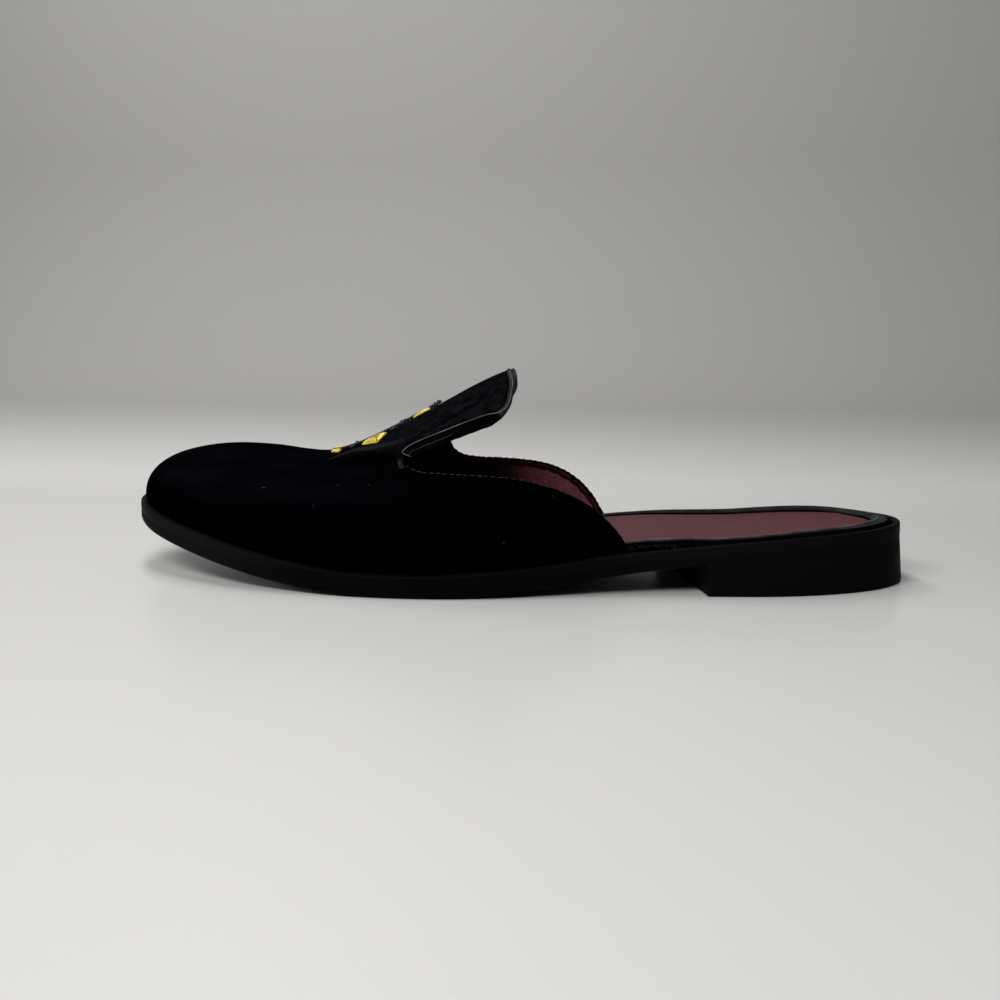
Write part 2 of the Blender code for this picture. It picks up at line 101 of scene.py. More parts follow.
FAN_FROM = 26.0
FAN_EASE = 20.0
CREST = table(
    ("from_toe", "offset", "height"),
    (46, 4.5, 47.1), (56, 4.0, 46.5), (66, 3.4, 45.1), (74, 2.8, 44.5), (82, 2.3, 45.3),
    (92, 1.8, 48.5), (104, 1.2, 54.2), (116, 0.8, 60.6), (128, 0.4, 67.4), (140, 0.2, 73.8),
    (150, 0.0, 78.0), (160, 0.0, 81.0), (200, 0.0, 85.0),
)
FULLNESS = table(
    ("from_toe", LATERAL, MEDIAL),
    (0, 2.55, 2.55), (60, 2.4, 2.45), (100, 2.35, 2.6), (130, 2.4, 2.85), (150, 2.45, 2.9),
    (200, 2.5, 2.9),
)
NOTCH = {LATERAL: 113.5, MEDIAL: 119.5}
WING_END = {LATERAL: 196.5, MEDIAL: 185.4}
TOPLINE = {
    LATERAL: table(
        ("from_toe", "height"),
        (113.5, 46.6), (121, 44.8), (130, 44.5), (144, 44.0), (153, 43.4), (160, 42.4), (167, 40.6),
        (174, 38.2), (180, 35.2), (185, 32.0), (189, 28.2), (193, 23.7), (196.5, 18.4),
    ),
    MEDIAL: table(
        ("from_toe", "height"),
        (119.5, 41.8), (125, 39.5), (131, 38.9), (143, 39.0), (153, 38.7), (160, 38.0), (167, 36.1),
        (172.5, 33.2), (176.5, 29.9), (180, 25.8), (183, 21.0), (185.4, 17.0),
    ),
}
TONGUE_END = 147.8
TONGUE_CORNER = 3.2
TONGUE_SCOOP = {LATERAL: 4.1, MEDIAL: 0.6}
SCOOP_FROM = 126.0
SCOOP_LIFT = 0.7
TONGUE = table(
    ("from_toe", LATERAL, MEDIAL),
    (113, 36.0, 33.0), (123, 36.6, 32.8), (132, 36.8, 32.2), (141, 36.4, 31.2), (150, 35.2, 30.0),
)
NOTCH_ROUND = 2.0
TOE_SPLIT = 0.5
BINDING_REACH = 3.4
PIPING_RADIUS = 1.0
INSOLE_THICKNESS = table(("from_toe", "thickness"), (0, 2.4), (190, 2.4), (215, 1.9), (300, 1.9))
INSOLE_INSET = {"front": 5.8, "back": 6.6}
INSOLE_STEP = (160.0, 184.0)
RIM_INSET, RIM_WIDTH = 3.0, 3.2
RIM_RISE = table(
    ("from_toe", "rise"),
    (0, 0.9), (188, 0.9), (200, 0.95), (215, 1.5), (240, 2.0), (278, 2.0), (293, 1.2), (300, 0.9),
)

# Finer detail that only the looks have
NOTCH_STOPS = (0, 0.04, 0.15, 0.35, 0.7, 1.2, 2.0, 3.0, 4.3, 6.0)
FINE_STEP = 1.35  # between sections of the velvet
VELVET_COLUMNS, LINING_COLUMNS, SOCK_COLUMNS = 36, 26, 44
VELVET_THICKNESS = 0.9
LINING_DEPTH = 1.05  # from the velvet's face to the lining's back
LINING_THICKNESS = 0.85
LINING_PEEK, PEEK_REACH = 0.8, (185.0, 191.0)  # the lining shows past the end of the lateral wing
NAP_HEIGHT = 0.16  # soft unevenness of the velvet
TUCK_DEPTH = 0.45  # where the velvet goes down behind the welt
CREASES = (  # side, width, height, then (from_toe, lift) along the line
    (LATERAL, 1.8, 0.95, ((78, 0.80), (83.5, 0.835), (90, 0.835), (100, 0.73), (109, 0.67), (116, 0.65))),
    (LATERAL, 4.4, -0.75, ((82, 0.71), (91, 0.70), (100, 0.62), (108, 0.565), (113, 0.54))),
    (MEDIAL, 3.2, 0.45, ((82, 0.80), (92, 0.77), (103, 0.72), (113, 0.68), (121, 0.65))),
    (MEDIAL, 4.2, -0.45, ((88, 0.69), (99, 0.64), (110, 0.59), (118, 0.56))),
    (LATERAL, 1.2, -0.5, ((121, 0.635), (129, 0.65), (138, 0.67), (145, 0.7))),
    (LATERAL, 1.0, 0.4, ((127, 0.675), (134, 0.69), (141, 0.715))),
    (LATERAL, 1.3, -0.35, ((131, 0.73), (137, 0.745), (143, 0.77))),
    (MEDIAL, 1.2, -0.28, ((128, 0.67), (135, 0.685), (142, 0.71))),
    (LATERAL, 2.2, -0.22, ((112, 0.48), (106, 0.44), (99, 0.41))),
    (MEDIAL, 2.2, -0.2, ((118, 0.48), (111, 0.44), (104, 0.42))),
    (LATERAL, 3.5, -0.25, ((150, 0.10), (160, 0.13), (170, 0.14), (180, 0.12))),
)
GROOVE_DEPTH = 0.3  # between welt and outsole, at the toe
GROOVE_FADE = (22.0, 52.0)
SOLE_STATIONS = 230
HEEL_STATIONS = 54
HEEL_JOINT = 1.5  # the block meets the outsole this far above its lower edge
RIM_START = 0.3  # the sock's binding starts this far behind the end of a wing
PLEAT_PITCH, PLEAT_DEPTH, PLEAT_REACH = 1.7, 0.42, 20.0
PLEAT_SETBACK = 0.35  # share of a fold that lies inside the plain strip
RIM_DROP = {LATERAL: 0.55, MEDIAL: 0.3}  # the worn leather lies this far below the full rise at the heel
RIM_LINE_RADIUS, RIM_LINE_LIFT = 0.38, 0.12  # painted highlight along the crown of the sock's binding
RIM_BACK, RIM_BACK_REACH = 1.4, (270.0, 298.0)  # at the back the binding is this share wider
RIM_CROWN = 0.9  # from the binding's inner edge to its highest line
RIM_STITCHES = (0.5, 1.3)  # rows next to the lateral wing, below the sock's face
STITCH_LENGTH, STITCH_GAP, STITCH_RADIUS, STITCH_RISE = 1.9, 0.6, 0.15, 0.08
ROLL_STEP = 0.9  # between sections of a trim
EDGE_STITCH_TURN = 0.5  # from the top of the rolled edge towards its outer side, in radians
FACING_WIDTH = 0.7  # dark band along the top of the lining, below the velvet's edge
NOTCH_LOOPS = 6
BINDING = table(  # section of the tongue's strip along its sides and across its end
    ("out", "up", "end_out", "end_up"),
    (-0.5, -2.3, -0.4, -2.2), (-0.5, -0.5, -0.4, -0.4), (-0.25, -0.4, -0.25, -0.3),
    (-0.05, 0.05, -0.05, 0.0), (0.1, 0.3, 0.05, 0.1), (0.35, 0.4, 0.3, 0.16), (0.6, 0.3, 0.6, 0.12),
    (0.72, 0.0, 0.8, 0.08), (0.85, -0.3, 0.95, 0.04), (1.2, -0.3, 1.1, 0.0), (1.8, -0.55, 1.3, -0.06),
    (2.3, -0.85, 1.42, -0.1), (2.5, -1.0, 1.5, -0.1), (2.65, -0.8, 1.58, 0.06),
    (2.9, -0.78, 1.75, 0.08), (3.15, -1.0, 1.9, -0.06), (3.3, -1.3, 1.97, -0.25),
    (3.7, -1.55, 2.0, -0.5), (4.0, -1.8, 2.02, -0.9), (4.1, -2.1, 2.0, -1.4), (4.0, -2.4, 1.85, -1.8),
    (3.5, -2.6, 1.5, -2.1), (2.0, -2.6, 0.8, -2.3),
)
LINT = table(  # fluff on the velvet of the lateral side
    ("from_toe", "lift", "length", "turn"),
    (60, 0.46, 1.9, 0.1), (90, 0.48, 0.9, 0.8), (103, 0.418, 1.0, 0.3), (82, 0.352, 1.3, 1.5),
    (171, 0.173, 1.1, 2.2), (154, 0.06, 1.2, 0.7),
)
SPRAY_FROM, SPRAY_TO = 76.0, 121.0
STEM_TWIST = 2.4  # radians for each millimetre
LEAVES = table(  # one pair in each row; (from_toe, plan distance from the ridge) of root and tip, half width
    ("root", "root_out", "tip", "tip_out", "width"),
    (76.0, 1.5, 81.0, 8.0, 1.6),
    (92.0, 6.0, 100.5, 20.0, 4.4),
    (110.5, 1.6, 118.5, 6.5, 2.0),
)
KNOTS = table(  # in pairs, the same way
    ("from_toe", "out", "size"),
    (86.0, 5.0, 1.0), (104.5, 10.0, 1.1), (106.5, 4.5, 1.0), (120.5, 4.0, 1.1),
)
THREAD_RADIUS = 0.27
SATIN_RISE = 1.05  # how far a leaf stands up over its padding


def along(rows, column, t):
    """Smooth curve through one column of a table, read at distances from the toe."""
    knots, values = rows["from_toe"], rows[column]
    slopes = np.gradient(values, knots)
    t = np.clip(t, knots[0], knots[-1])
    k = np.clip(np.searchsorted(knots, t) - 1, 0, len(knots) - 2)
    span = knots[k + 1] - knots[k]
    u = (t - knots[k]) / span
    start = (1 + 2 * u) * values[k] + u * span * slopes[k]
    end = (3 - 2 * u) * values[k + 1] + (u - 1) * span * slopes[k + 1]
    return (1 - u) ** 2 * start + u ** 2 * end


def ease(low, high, t):
    """0 before low, 1 after high, smooth between."""
    u = np.clip((t - low) / (high - low), 0, 1)
    return u * u * (3 - 2 * u)


def rounding(distance, reach, power):
    """Fraction of the full width at a distance from an end of the sole."""
    left = np.clip(1 - distance / reach, 0, 1)
    return (1 - left ** power) ** (1 / power)


def unit(vectors):
    return vectors / np.linalg.norm(vectors, axis=-1)[..., None]


def headings(path):
    """Unit direction at each point of a path."""
    return unit(np.gradient(path, axis=0))


def run_along(path):
    """Distance covered at each point of a path."""
    return np.concatenate([[0], np.cumsum(np.linalg.norm(np.diff(path, axis=0), axis=1))])


def fine_edge():
    """Close-set points of the sole's outline with outward normals, for each side from toe to heel."""
    turn = np.linspace(0, math.pi, 3001)
    t = LENGTH * (1 - np.cos(turn)) / 2
    half = along(PLAN, "half_width", t) * rounding(t, *TOE_ROUND) * rounding(LENGTH - t, *HEEL_ROUND)
    middle = along(PLAN, "middle", t)
    sides = [np.column_stack([t - LENGTH / 2, middle + side * half]) for side in SIDES]
    loop = np.concatenate([sides[0], sides[1][-2:0:-1]])
    loop[:, 1] -= (loop[:, 1].max() + loop[:, 1].min()) / 2
    tangent = np.roll(loop, -1, axis=0) - np.roll(loop, 1, axis=0)
    normal = unit(np.column_stack([tangent[:, 1], -tangent[:, 0]]))
    fine = np.column_stack([loop, normal])
    lateral = fine[:len(t)]
    medial = np.concatenate([fine[:1], fine[:len(t) - 2:-1]])
    return {"t": t, LATERAL: lateral, MEDIAL: medial, "shift": sides[0][0, 1] - loop[0, 1]}


EDGE = fine_edge()


def edge(side, t, inset=0.0):
    """Plan point of the sole's outline, moved in by an inset."""
    x, y, nx, ny = (np.interp(t, EDGE["t"], EDGE[side][:, k]) for k in range(4))
    return x - inset * nx, y - inset * ny


def from_toe(x):
    return x + LENGTH / 2


def stations(count, end=LENGTH):
    """Distances from the toe that are evenly spread along the lateral edge."""
    run = run_along(EDGE[LATERAL][:, :2])
    total = np.interp(end, EDGE["t"], run)
    return np.interp(np.linspace(0, total, count + 1), run, EDGE["t"])


def sole_bottom(t):
    toe = TOE_SPRING * np.clip((FLAT_FROM - t) / FLAT_FROM, 0, None) ** TOE_SPRING_POWER
    return np.where(t > FLAT_TO, along(ARCH, "rise", t), toe)


def sole_top(t):
    return sole_bottom(t) + along(SOLE_THICKNESS, "thickness", t)


def welt_joint(t):
    return sole_top(t) - WELT_HEIGHT


def seat(t):
    """Face that the insole lies on; behind the wings it is sunk inside the welt's rim."""
    return sole_top(t) - SEAT_DEPTH * ease(SEAT_FROM, SEAT_TO, t)


def insole_bed(t):
    return seat(t) + GAP + along(INSOLE_THICKNESS, "thickness", t)


def lean(t):
    """Inset that all layers of the sole share, at the leaning back and at the toe tip."""
    return HEEL_LEAN * ease(*HEEL_LEAN_REACH, t) + TOE_TUCK * (1 - ease(*TOE_TUCK_REACH, t))


def foot_line(side, t):
    """Foot of the upper on the welt."""
    x, y = edge(side, t, FEATHER_INSET)
    return np.stack([x, y, sole_top(from_toe(x)) + GAP], -1)


def crest_line(t):
    """Ridge point that the section at t climbs to; the sections of the toe share one point."""
    behind = np.clip(t - FAN_FROM, 0, None)
    spine = FAN_FROM + np.hypot(behind, FAN_EASE)
    offset = along(CREST, "offset", spine) - EDGE["shift"]
    return np.stack([spine - LENGTH / 2, offset, along(CREST, "height", spine)], -1)


def shell(side, t, lift):
    """Point on the upper's outer face; lift runs from 0 at the sole to 1 at the ridge."""
    t, lift = np.broadcast_arrays(np.asarray(t, float), np.asarray(lift, float))
    power = 2 / along(FULLNESS, side, t)
    inward = 1 - np.cos(lift * math.pi / 2) ** power
    upward = np.sin(lift * math.pi / 2) ** power
    foot, crest = foot_line(side, t), crest_line(t)
    return foot + (crest - foot) * np.stack([inward, inward, upward], -1)


def face_frame(side, t, lift):
    """Outer face point and its outward normal."""
    step = 0.01
    here = shell(side, t, lift)
    up = shell(side, t, np.minimum(lift + step, 1)) - shell(side, t, np.maximum(lift - step, 0))
    back = shell(side, t + 0.2, lift) - shell(side, t - 0.2, lift)
    return here, unit(np.cross(back, up) * -side)


def lift_at_height(side, t, height):
    """Lift at which a section reaches a height."""
    foot, crest = foot_line(side, t)[..., 2], crest_line(t)[..., 2]
    part = np.clip((height - foot) / (crest - foot), 0, 1)
    return np.arcsin(part ** (along(FULLNESS, side, t) / 2)) * 2 / math.pi


def lift_at_width(side, t, width):
    """Lift at which a section is a given width away from the ridge, in plan."""
    reach = np.linalg.norm((foot_line(side, t) - crest_line(t))[..., :2], axis=-1)
    part = np.clip(width / reach, 0, 1)
    return np.arccos(part ** (along(FULLNESS, side, t) / 2)) * 2 / math.pi


def notch_lift(side):
    """Middle of the notch between the tongue and the wing."""
    t = np.array(NOTCH[side])
    wing = lift_at_height(side, t, along(TOPLINE[side], "height", t))
    tongue = lift_at_width(side, t, along(TONGUE, side, t))
    return (wing + tongue) / 2


def opening(side, t):
    """0 at the front of the notch, 1 where it is fully open."""
    return 1 - np.exp(-np.sqrt(np.clip(t - NOTCH[side], 0, None) / NOTCH_ROUND) * 1.6)


def wing_lift(side, t):
    """Top edge of the wing's wall, below the piping."""
    height = along(TOPLINE[side], "height", t) - 2 * PIPING_RADIUS
    open_lift = lift_at_height(side, t, height)
    return notch_lift(side) + (open_lift - notch_lift(side)) * opening(side, t)


def tongue_lift(side, t):
    """Side edge of the tongue's wall, inside its binding."""
    width = along(TONGUE, side, t) - BINDING_REACH
    corner = np.clip((t - TONGUE_END + TONGUE_CORNER) / TONGUE_CORNER, 0, 1)
    width = width - TONGUE_CORNER * (1 - np.sqrt(1 - corner ** 2))
    open_lift = lift_at_width(side, t, width)
    return notch_lift(side) + (open_lift - notch_lift(side)) * opening(side, t)


def scooped(side, t, lift):
    """Distance from the toe of a tongue section; towards the tongue's end its shoulder runs further back."""
    shoulder = 1 - ease(SCOOP_LIFT, 1, lift)
    return t + TONGUE_SCOOP[side] * shoulder * ease(SCOOP_FROM, TONGUE_END, t)


# Mesh making
LOOKS = {}  # materials, made before the pieces


class Soup:
    """Points and faces of several forms that become one mesh."""

    def __init__(self):
        self.points, self.faces, self.count = [], [], 0

    def add(self, points, faces):
        points = np.asarray(points, float).reshape(-1, 3)
        self.points.append(points)
        self.faces += [tuple(k + self.count for k in face) for face in faces]
        self.count += len(points)


def grid_faces(rows, columns, closed=False, flip=False):
    """Quads of a grid of points; closed joins the last column to the first."""
    faces = []
    for i in range(rows - 1):
        for j in range(columns if closed else columns - 1):
            after = (j + 1) % columns
            a, b = i * columns + j, i * columns + after
            quad = (a, b, b + columns, a + columns)
            faces.append(quad[::-1] if flip else quad)
    return faces


def ring_form(rings, caps=True):
    """Points and faces of a form lofted through closed rings."""
    rings = np.asarray(rings, float)
    rows, columns = rings.shape[:2]
    faces = grid_faces(rows, columns, closed=True)
    if caps:
        faces.append(tuple(range(columns))[::-1])
        faces.append(tuple((rows - 1) * columns + k for k in range(columns)))
    return rings.reshape(-1, 3), faces


def frames_along(path):
    """Two unit vectors across a path at each of its points, carried along without twist."""
    tangent = headings(path)
    first = [unit(np.cross(tangent[0], (0.31, 0.17, 0.93)))]
    for direction in tangent[1:]:
        first.append(unit(first[-1] - direction * (first[-1] @ direction)))
    return np.array(first), np.cross(tangent, first)


def tube_form(path, radius, sides):
    """Points and faces of a thread along a path."""
    path = np.asarray(path, float)
    radius = np.broadcast_to(np.asarray(radius, float), (len(path),))
    first, second = frames_along(path)
    turn = np.linspace(0, 2 * math.pi, sides, endpoint=False)[:, None]
    circle = first[:, None] * np.cos(turn) + second[:, None] * np.sin(turn)
    return ring_form(path[:, None] + circle * radius[:, None, None])


def linked(name, data):
    """New object in the scene."""
    made = bpy.data.objects.new(name, data)
    bpy.context.scene.collection.objects.link(made)
    return made


def piece(name, form, look, stands_for=(), weld=0.004, sharp=None):
    """Object of the part from a form in millimetres."""
    points, faces = form if isinstance(form, tuple) else (np.concatenate(form.points), form.faces)
    mesh = bpy.data.meshes.new(name)
    mesh.from_pydata((np.asarray(points) * MM).tolist(), [], faces)
    skin = bmesh.new()
    skin.from_mesh(mesh)
    bmesh.ops.remove_doubles(skin, verts=skin.verts, dist=weld * MM)
    bmesh.ops.recalc_face_normals(skin, faces=skin.faces)
    skin.to_mesh(mesh)
    skin.free()
    mesh.polygons.foreach_set("use_smooth", [True] * len(mesh.polygons))
    if sharp is not None:
        mesh.set_sharp_from_angle(angle=math.radians(sharp))
    mesh.materials.append(LOOKS[look])
    made = linked(name, mesh)
    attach(made, "root")
    if stands_for:
        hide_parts(*stands_for)
    return made


def thicken(made, thickness):
    """Gives a skin its thickness, inward from its face."""
    wall = made.modifiers.new("thickness", "SOLIDIFY")
    wall.thickness = thickness * MM
    wall.offset = -1
    wall.use_even_offset = True
    wall.use_quality_normals = True


def mesh_points(mesh):
    """Vertex places in millimetres and their normals."""
    places = np.zeros(len(mesh.vertices) * 3)
    mesh.vertices.foreach_get("co", places)
    normals = np.zeros(len(mesh.vertices) * 3)
    mesh.vertex_normals.foreach_get("vector", normals)
    return places.reshape(-1, 3) / MM, normals.reshape(-1, 3)


def set_points(mesh, points):
    mesh.vertices.foreach_set("co", (points * MM).ravel())
    mesh.update()


def unevenness(points, size, seed=0.0):
    """Soft noise from -1 to 1; size is the width of a swell."""
    return np.array([noise.noise(Vector(p / size + seed)) for p in points])


# Sole


def sole_layer(profile, line=lean, top=None, columns=26):
    """Form of a layer that runs round the sole. The profile is (inset from the line, share of the groove,
    base, height over it) from low to high; top is the relief of the upper face."""
    t = stations(SOLE_STATIONS)
    groove = GROOVE_DEPTH * (1 - ease(*GROOVE_FADE, t))
    walls = {}
    for side in SIDES:
        points = []
        for inset, share, base, extra in profile:
            x, y = edge(side, t, inset + share * groove + line(t))
            points.append(np.column_stack([x, y, base(from_toe(x)) + extra]))
        walls[side] = np.stack(points, 1)
    part = np.linspace(0, 1, columns + 1)[1:-1][None, :, None]

    def across(start, end, base, extra):
        row = start[:, None] + (end - start)[:, None] * part
        row[..., 2] = base(from_toe(row[..., 0])) + extra
        return row

    left, right = walls[LATERAL], walls[MEDIAL]
    over = across(left[:, -1], right[:, -1], *profile[-1][2:])
    if top is not None:
        over[..., 2] += top(over[..., 0], over[..., 1])
    under = across(right[:, 0], left[:, 0], *profile[0][2:])
    return ring_form(np.concatenate([left, over, right[:, ::-1], under], axis=1), caps=False)


def margin(x, y):
    """Distance in plan from the sole's nearer side edge."""
    t = from_toe(x)
    low, high = edge(LATERAL, t)[1], edge(MEDIAL, t)[1]
    return np.minimum(y - low, high - y)


def build_sole():
    outsole = (
        (2.2, 0, sole_bottom, 0),
        (1.2, 0, sole_bottom, 0.25),
        (0.5, 0, sole_bottom, 0.75),
        (0.12, 0, sole_bottom, 1.4),
        (0, 0, sole_bottom, 2.1),
        (0, 0, welt_joint, -0.9),
        (0, 0.4, welt_joint, -0.3),
        (0, 1, welt_joint, -0.02),
    )
    welt = (
        (0, 1, welt_joint, 0),
        (0, 0.4, welt_joint, 0.25),
        (0, 0, welt_joint, 0.8),
        (0.06, 0, sole_top, -0.8),
        (0.14, 0, sole_top, -0.25),
        (0.4, 0, sole_top, 0),
        (WELT_LIP - 0.4, 0, sole_top, 0),
        (WELT_LIP - 0.15, 0, sole_top, -0.15),
        (WELT_LIP, 0, seat, 0),
    )
    layers = (  # name, form, look, slot, node, then height and size of the unevenness
        ("outsole_rubber", sole_layer(outsole), "rubber", "sole_rubber", "outsole", 0.07, 9.0),
        ("welt_rubber", sole_layer(welt), "welt", "welt_rubber", "welt", 0.06, 12.0),
        ("heel_block", heel_form(), "rubber", "sole_rubber", "heel", 0.06, 14.0),
    )
    for name, form, look, slot, node, height, size in layers:
        wobble(piece(name, form, look, [node], sharp=50), height, size)


def wobble(made, height, size):
    """Slight unevenness of a moulded side; faces on the floor stay flat."""
    points, normals = mesh_points(made.data)
    sideways = np.clip(1 - np.abs(normals[:, 2]) * 1.4, 0, 1)
    amount = height * sideways * unevenness(points, size, 3.7)
    set_points(made.data, points + normals * amount[:, None])


def heel_form():
    """Block under the seat, with a straight breast and its own flat on the floor. The profile is (inset,
    share of the lean, height, share of the joint's height)."""
    profile = (
        (1.0, 0, 0, 0),
        (0.45, 0, 0.22, 0),
        (0.1, 0, 0.8, 0),
        (0, 0.3, 0, 0.3),
        (0, 0.6, 0, 0.6),
        (0, 0.97, -0.4, 1),
        (0, 1, 0, 1),
    )
    spread = np.sin(np.linspace(0, math.pi / 2, HEEL_STATIONS + 1))
    breast = np.linspace(0, 1, 14)[1:-1][:, None]
    rings = []
    for inset, tilt, height, share in profile:
        parts = []
        for side, stops in ((LATERAL, spread), (MEDIAL, spread[-2::-1])):
            front = HEEL_BREAST[side] + inset + tilt * lean(HEEL_BREAST[side])
            t = front + (LENGTH - front) * stops
            parts.append(np.column_stack(edge(side, t, inset + tilt * lean(t))))
        ring = np.concatenate(parts)
        ring = np.concatenate([ring, ring[-1] + (ring[0] - ring[-1]) * breast])
        joint = sole_bottom(from_toe(ring[:, 0])) + HEEL_JOINT
        rings.append(np.column_stack([ring, height + share * joint]))
    return ring_form(rings)


# Insole


def sock_line(t):
    """Inset of the sock's edge."""
    front, back = INSOLE_INSET["front"], INSOLE_INSET["back"]
    return front + (back - front) * ease(*INSOLE_STEP, t) + lean(t)


def footbed(x, y):
    """Slight hollow of the sock, deepest in the heel seat."""
    depth = 0.25 + 0.35 * ease(205, 265, from_toe(x))
    return -depth * ease(4, 26, margin(x, y))


def build_insole():
    profile = (
        (0.8, 0, seat, GAP),
        (0, 0, seat, GAP + 0.5),
        (-0.1, 0, insole_bed, -0.6),
        (0.2, 0, insole_bed, -0.35),
        (0.6, 0, insole_bed, -0.1),
        (1.2, 0, insole_bed, 0),
    )
    form = sole_layer(profile, sock_line, footbed, SOCK_COLUMNS)
    sock = piece("sock", form, "sock", ["insole"], sharp=60)
    points, normals = mesh_points(sock.data)
    amount = 0.09 * np.clip(normals[:, 2], 0, 1) * unevenness(points, 17.0, 8.1)
    set_points(sock.data, points + normals * amount[:, None])
    build_rim()
    build_rim_thread()


def rim_path():
    """Stops round the open end of the insole, from the lateral wing to the medial one."""
    t = stations(3 * SOLE_STATIONS)
    for side in SIDES:
        start = WING_END[side] + RIM_START
        stops = np.concatenate([[start], t[t > start + 0.3]])
        for stop in stops if side == LATERAL else stops[-2::-1]:
            yield side, stop


def pleat(side, t, level):
    """Outward swell of the gathered leather near a wing, from 0 to 1; the folds slant with the level."""
    run = t - WING_END[side] - RIM_START
    fade = 1 - ease(0.5 * PLEAT_REACH, PLEAT_REACH, run)
    slant = run + 0.8 * level + 0.5 * np.sin(1.7 * run + 2 * level)
    return fade * (0.5 + 0.5 * np.sin(2 * math.pi * slant / PLEAT_PITCH))


def rim_rise(side, t):
    return along(RIM_RISE, "rise", t) - RIM_DROP[side] * ease(205, 240, t) * (1 - ease(278, 298, t))


def rim_inset(t, inset):
    """Inset of a line of the strip, which is wider at the back of the heel."""
    return inset + RIM_BACK * ease(*RIM_BACK_REACH, t) * (inset - RIM_INSET) + lean(t)


def rim_form(profile):
    """Strip round the insole where no upper covers it, gathered in pleats next to the wings. The profile is
    (inset, base, height over it, share of the rise, share of the pleats)."""
    rings = []
    for side, t in rim_path():
        ring = []
        for inset, base, extra, share, pleats in profile:
            fold = PLEAT_DEPTH * pleats * (pleat(side, t, extra) - PLEAT_SETBACK)
            x, y = edge(side, t, rim_inset(t, inset) - fold)
            ring.append((x, y, base(from_toe(x)) + extra + share * rim_rise(side, t)))
        rings.append(ring)
    return ring_form(rings)


def build_rim():
    """Rounded binding of the sock; its upper side is a lighter copy of the leather, as painted light."""
    low, high = RIM_INSET, RIM_INSET + RIM_WIDTH
    body = (
        (high, seat, GAP, 0, 0),
        (high + 0.15, insole_bed, -0.2, 0, 0),
        (high, insole_bed, 0, 0.3, 0),
        (high - 0.5, insole_bed, 0, 0.75, 0),
        (low + 1.2, insole_bed, 0, 0.75, 0.1),
        (low + 0.7, insole_bed, 0, 0.6, 0.3),
        (low + 0.3, insole_bed, 0, 0.2, 0.6),
        (low + 0.1, insole_bed, -0.4, 0, 1),
        (low, insole_bed, -1.0, 0, 1),
        (low, seat, GAP + 0.3, 0, 0.8),
        (low + 0.2, seat, GAP, 0, 0.5),
    )
    shine = (
        (high, insole_bed, 0, 0.1, 0),
        (high + 0.1, insole_bed, 0, 0.4, 0),
        (high - 0.3, insole_bed, 0, 0.85, 0),
        (high - RIM_CROWN, insole_bed, 0, 1, 0),
        (low + 1.2, insole_bed, 0, 1, 0.1),
        (low + 0.75, insole_bed, 0, 0.88, 0.2),
        (low + 1.2, insole_bed, 0, 0.4, 0),
    )
    piece("sock_binding", rim_form(body), "leather", ["insole_binding"], sharp=70)
    piece("sock_binding_top", rim_form(shine), "shine", sharp=70)


def build_rim_thread():
    """Painted highlight line on the crown of the lateral rim, and stitches in its pleats."""
    t = stations(3 * SOLE_STATIONS)
    t = t[t > WING_END[LATERAL] + RIM_START]
    x, y = edge(LATERAL, t, rim_inset(t, RIM_INSET + RIM_WIDTH - RIM_CROWN))
    crown = np.column_stack([x, y, insole_bed(from_toe(x)) + rim_rise(LATERAL, t) + RIM_LINE_LIFT])
    piece("sock_binding_highlight", tube_form(crown, RIM_LINE_RADIUS, 8), "bead")
    t = t[t < WING_END[LATERAL] + PLEAT_REACH]
    outward = np.tile((0.0, LATERAL, 0.0), (len(t), 1))
    stitches = Soup()
    for drop in RIM_STITCHES:
        fold = PLEAT_DEPTH * (pleat(LATERAL, t, -drop) - PLEAT_SETBACK)
        x, y = edge(LATERAL, t, RIM_INSET - 0.05 + lean(t) - fold)
        row = np.column_stack([x, y, insole_bed(from_toe(x)) - drop + 0.3 * np.sin(3.1 * t + drop)])
        add_stitches(stitches, row, outward, length=0.7, radius=0.1, seed=drop, kept=0.8)
    piece("sock_binding_stitches", stitches, "edge")


# Upper


def fine_rows():
    """Section stops from the toe to the tongue's end, close together at the notches and the corners."""
    reach = int(170 / FINE_STEP)
    plain = stations(reach, TONGUE_END)
    notch = np.array(NOTCH_STOPS)
    corner = TONGUE_END - TONGUE_CORNER * np.array([1, 0.75, 0.5, 0.3, 0.15, 0.06, 0.015, 0])
    special = np.concatenate([NOTCH[LATERAL] + notch, NOTCH[MEDIAL] + notch, corner])
    plain = [t for t in plain if np.abs(special - t).min() > 0.4 * FINE_STEP]
    return np.sort(np.concatenate([plain, special]))


def tongue_rows(side):
    rows = fine_rows()
    return rows[rows >= NOTCH[side]]


def wing_rows(side):
    count = int((WING_END[side] - TONGUE_END) / FINE_STEP)
    run = np.linspace(0, 1, count + 1)[1:] ** 0.85
    return np.concatenate([tongue_rows(side), TONGUE_END + (WING_END[side] - TONGUE_END) * run])


def shell_form(wing_top, columns):
    """Outer face of vamp, tongue and wings as one skin; wing_top gives the wing's edge."""
    soup = Soup()
    rows = fine_rows()
    for side in SIDES:
        front, behind, wing = rows[rows <= NOTCH[side]], tongue_rows(side), wing_rows(side)
        split = TOE_SPLIT + (notch_lift(side) - TOE_SPLIT) * ease(20, NOTCH[side], front)
        patches = (
            (front, 0 * split, split, False),
            (front, split, 0 * split + 1, False),
            (wing, 0 * wing, wing_top(side, wing), False),
            (behind, tongue_lift(side, behind), 0 * behind + 1, True),
        )
        for t, low, high, tongue in patches:
            lift = low[:, None] + (high - low)[:, None] * np.linspace(0, 1, columns + 1)
            stops = scooped(side, t[:, None], lift) if tongue else t[:, None]
            soup.add(shell(side, stops, lift), grid_faces(len(t), columns + 1, flip=side == MEDIAL))
    return soup


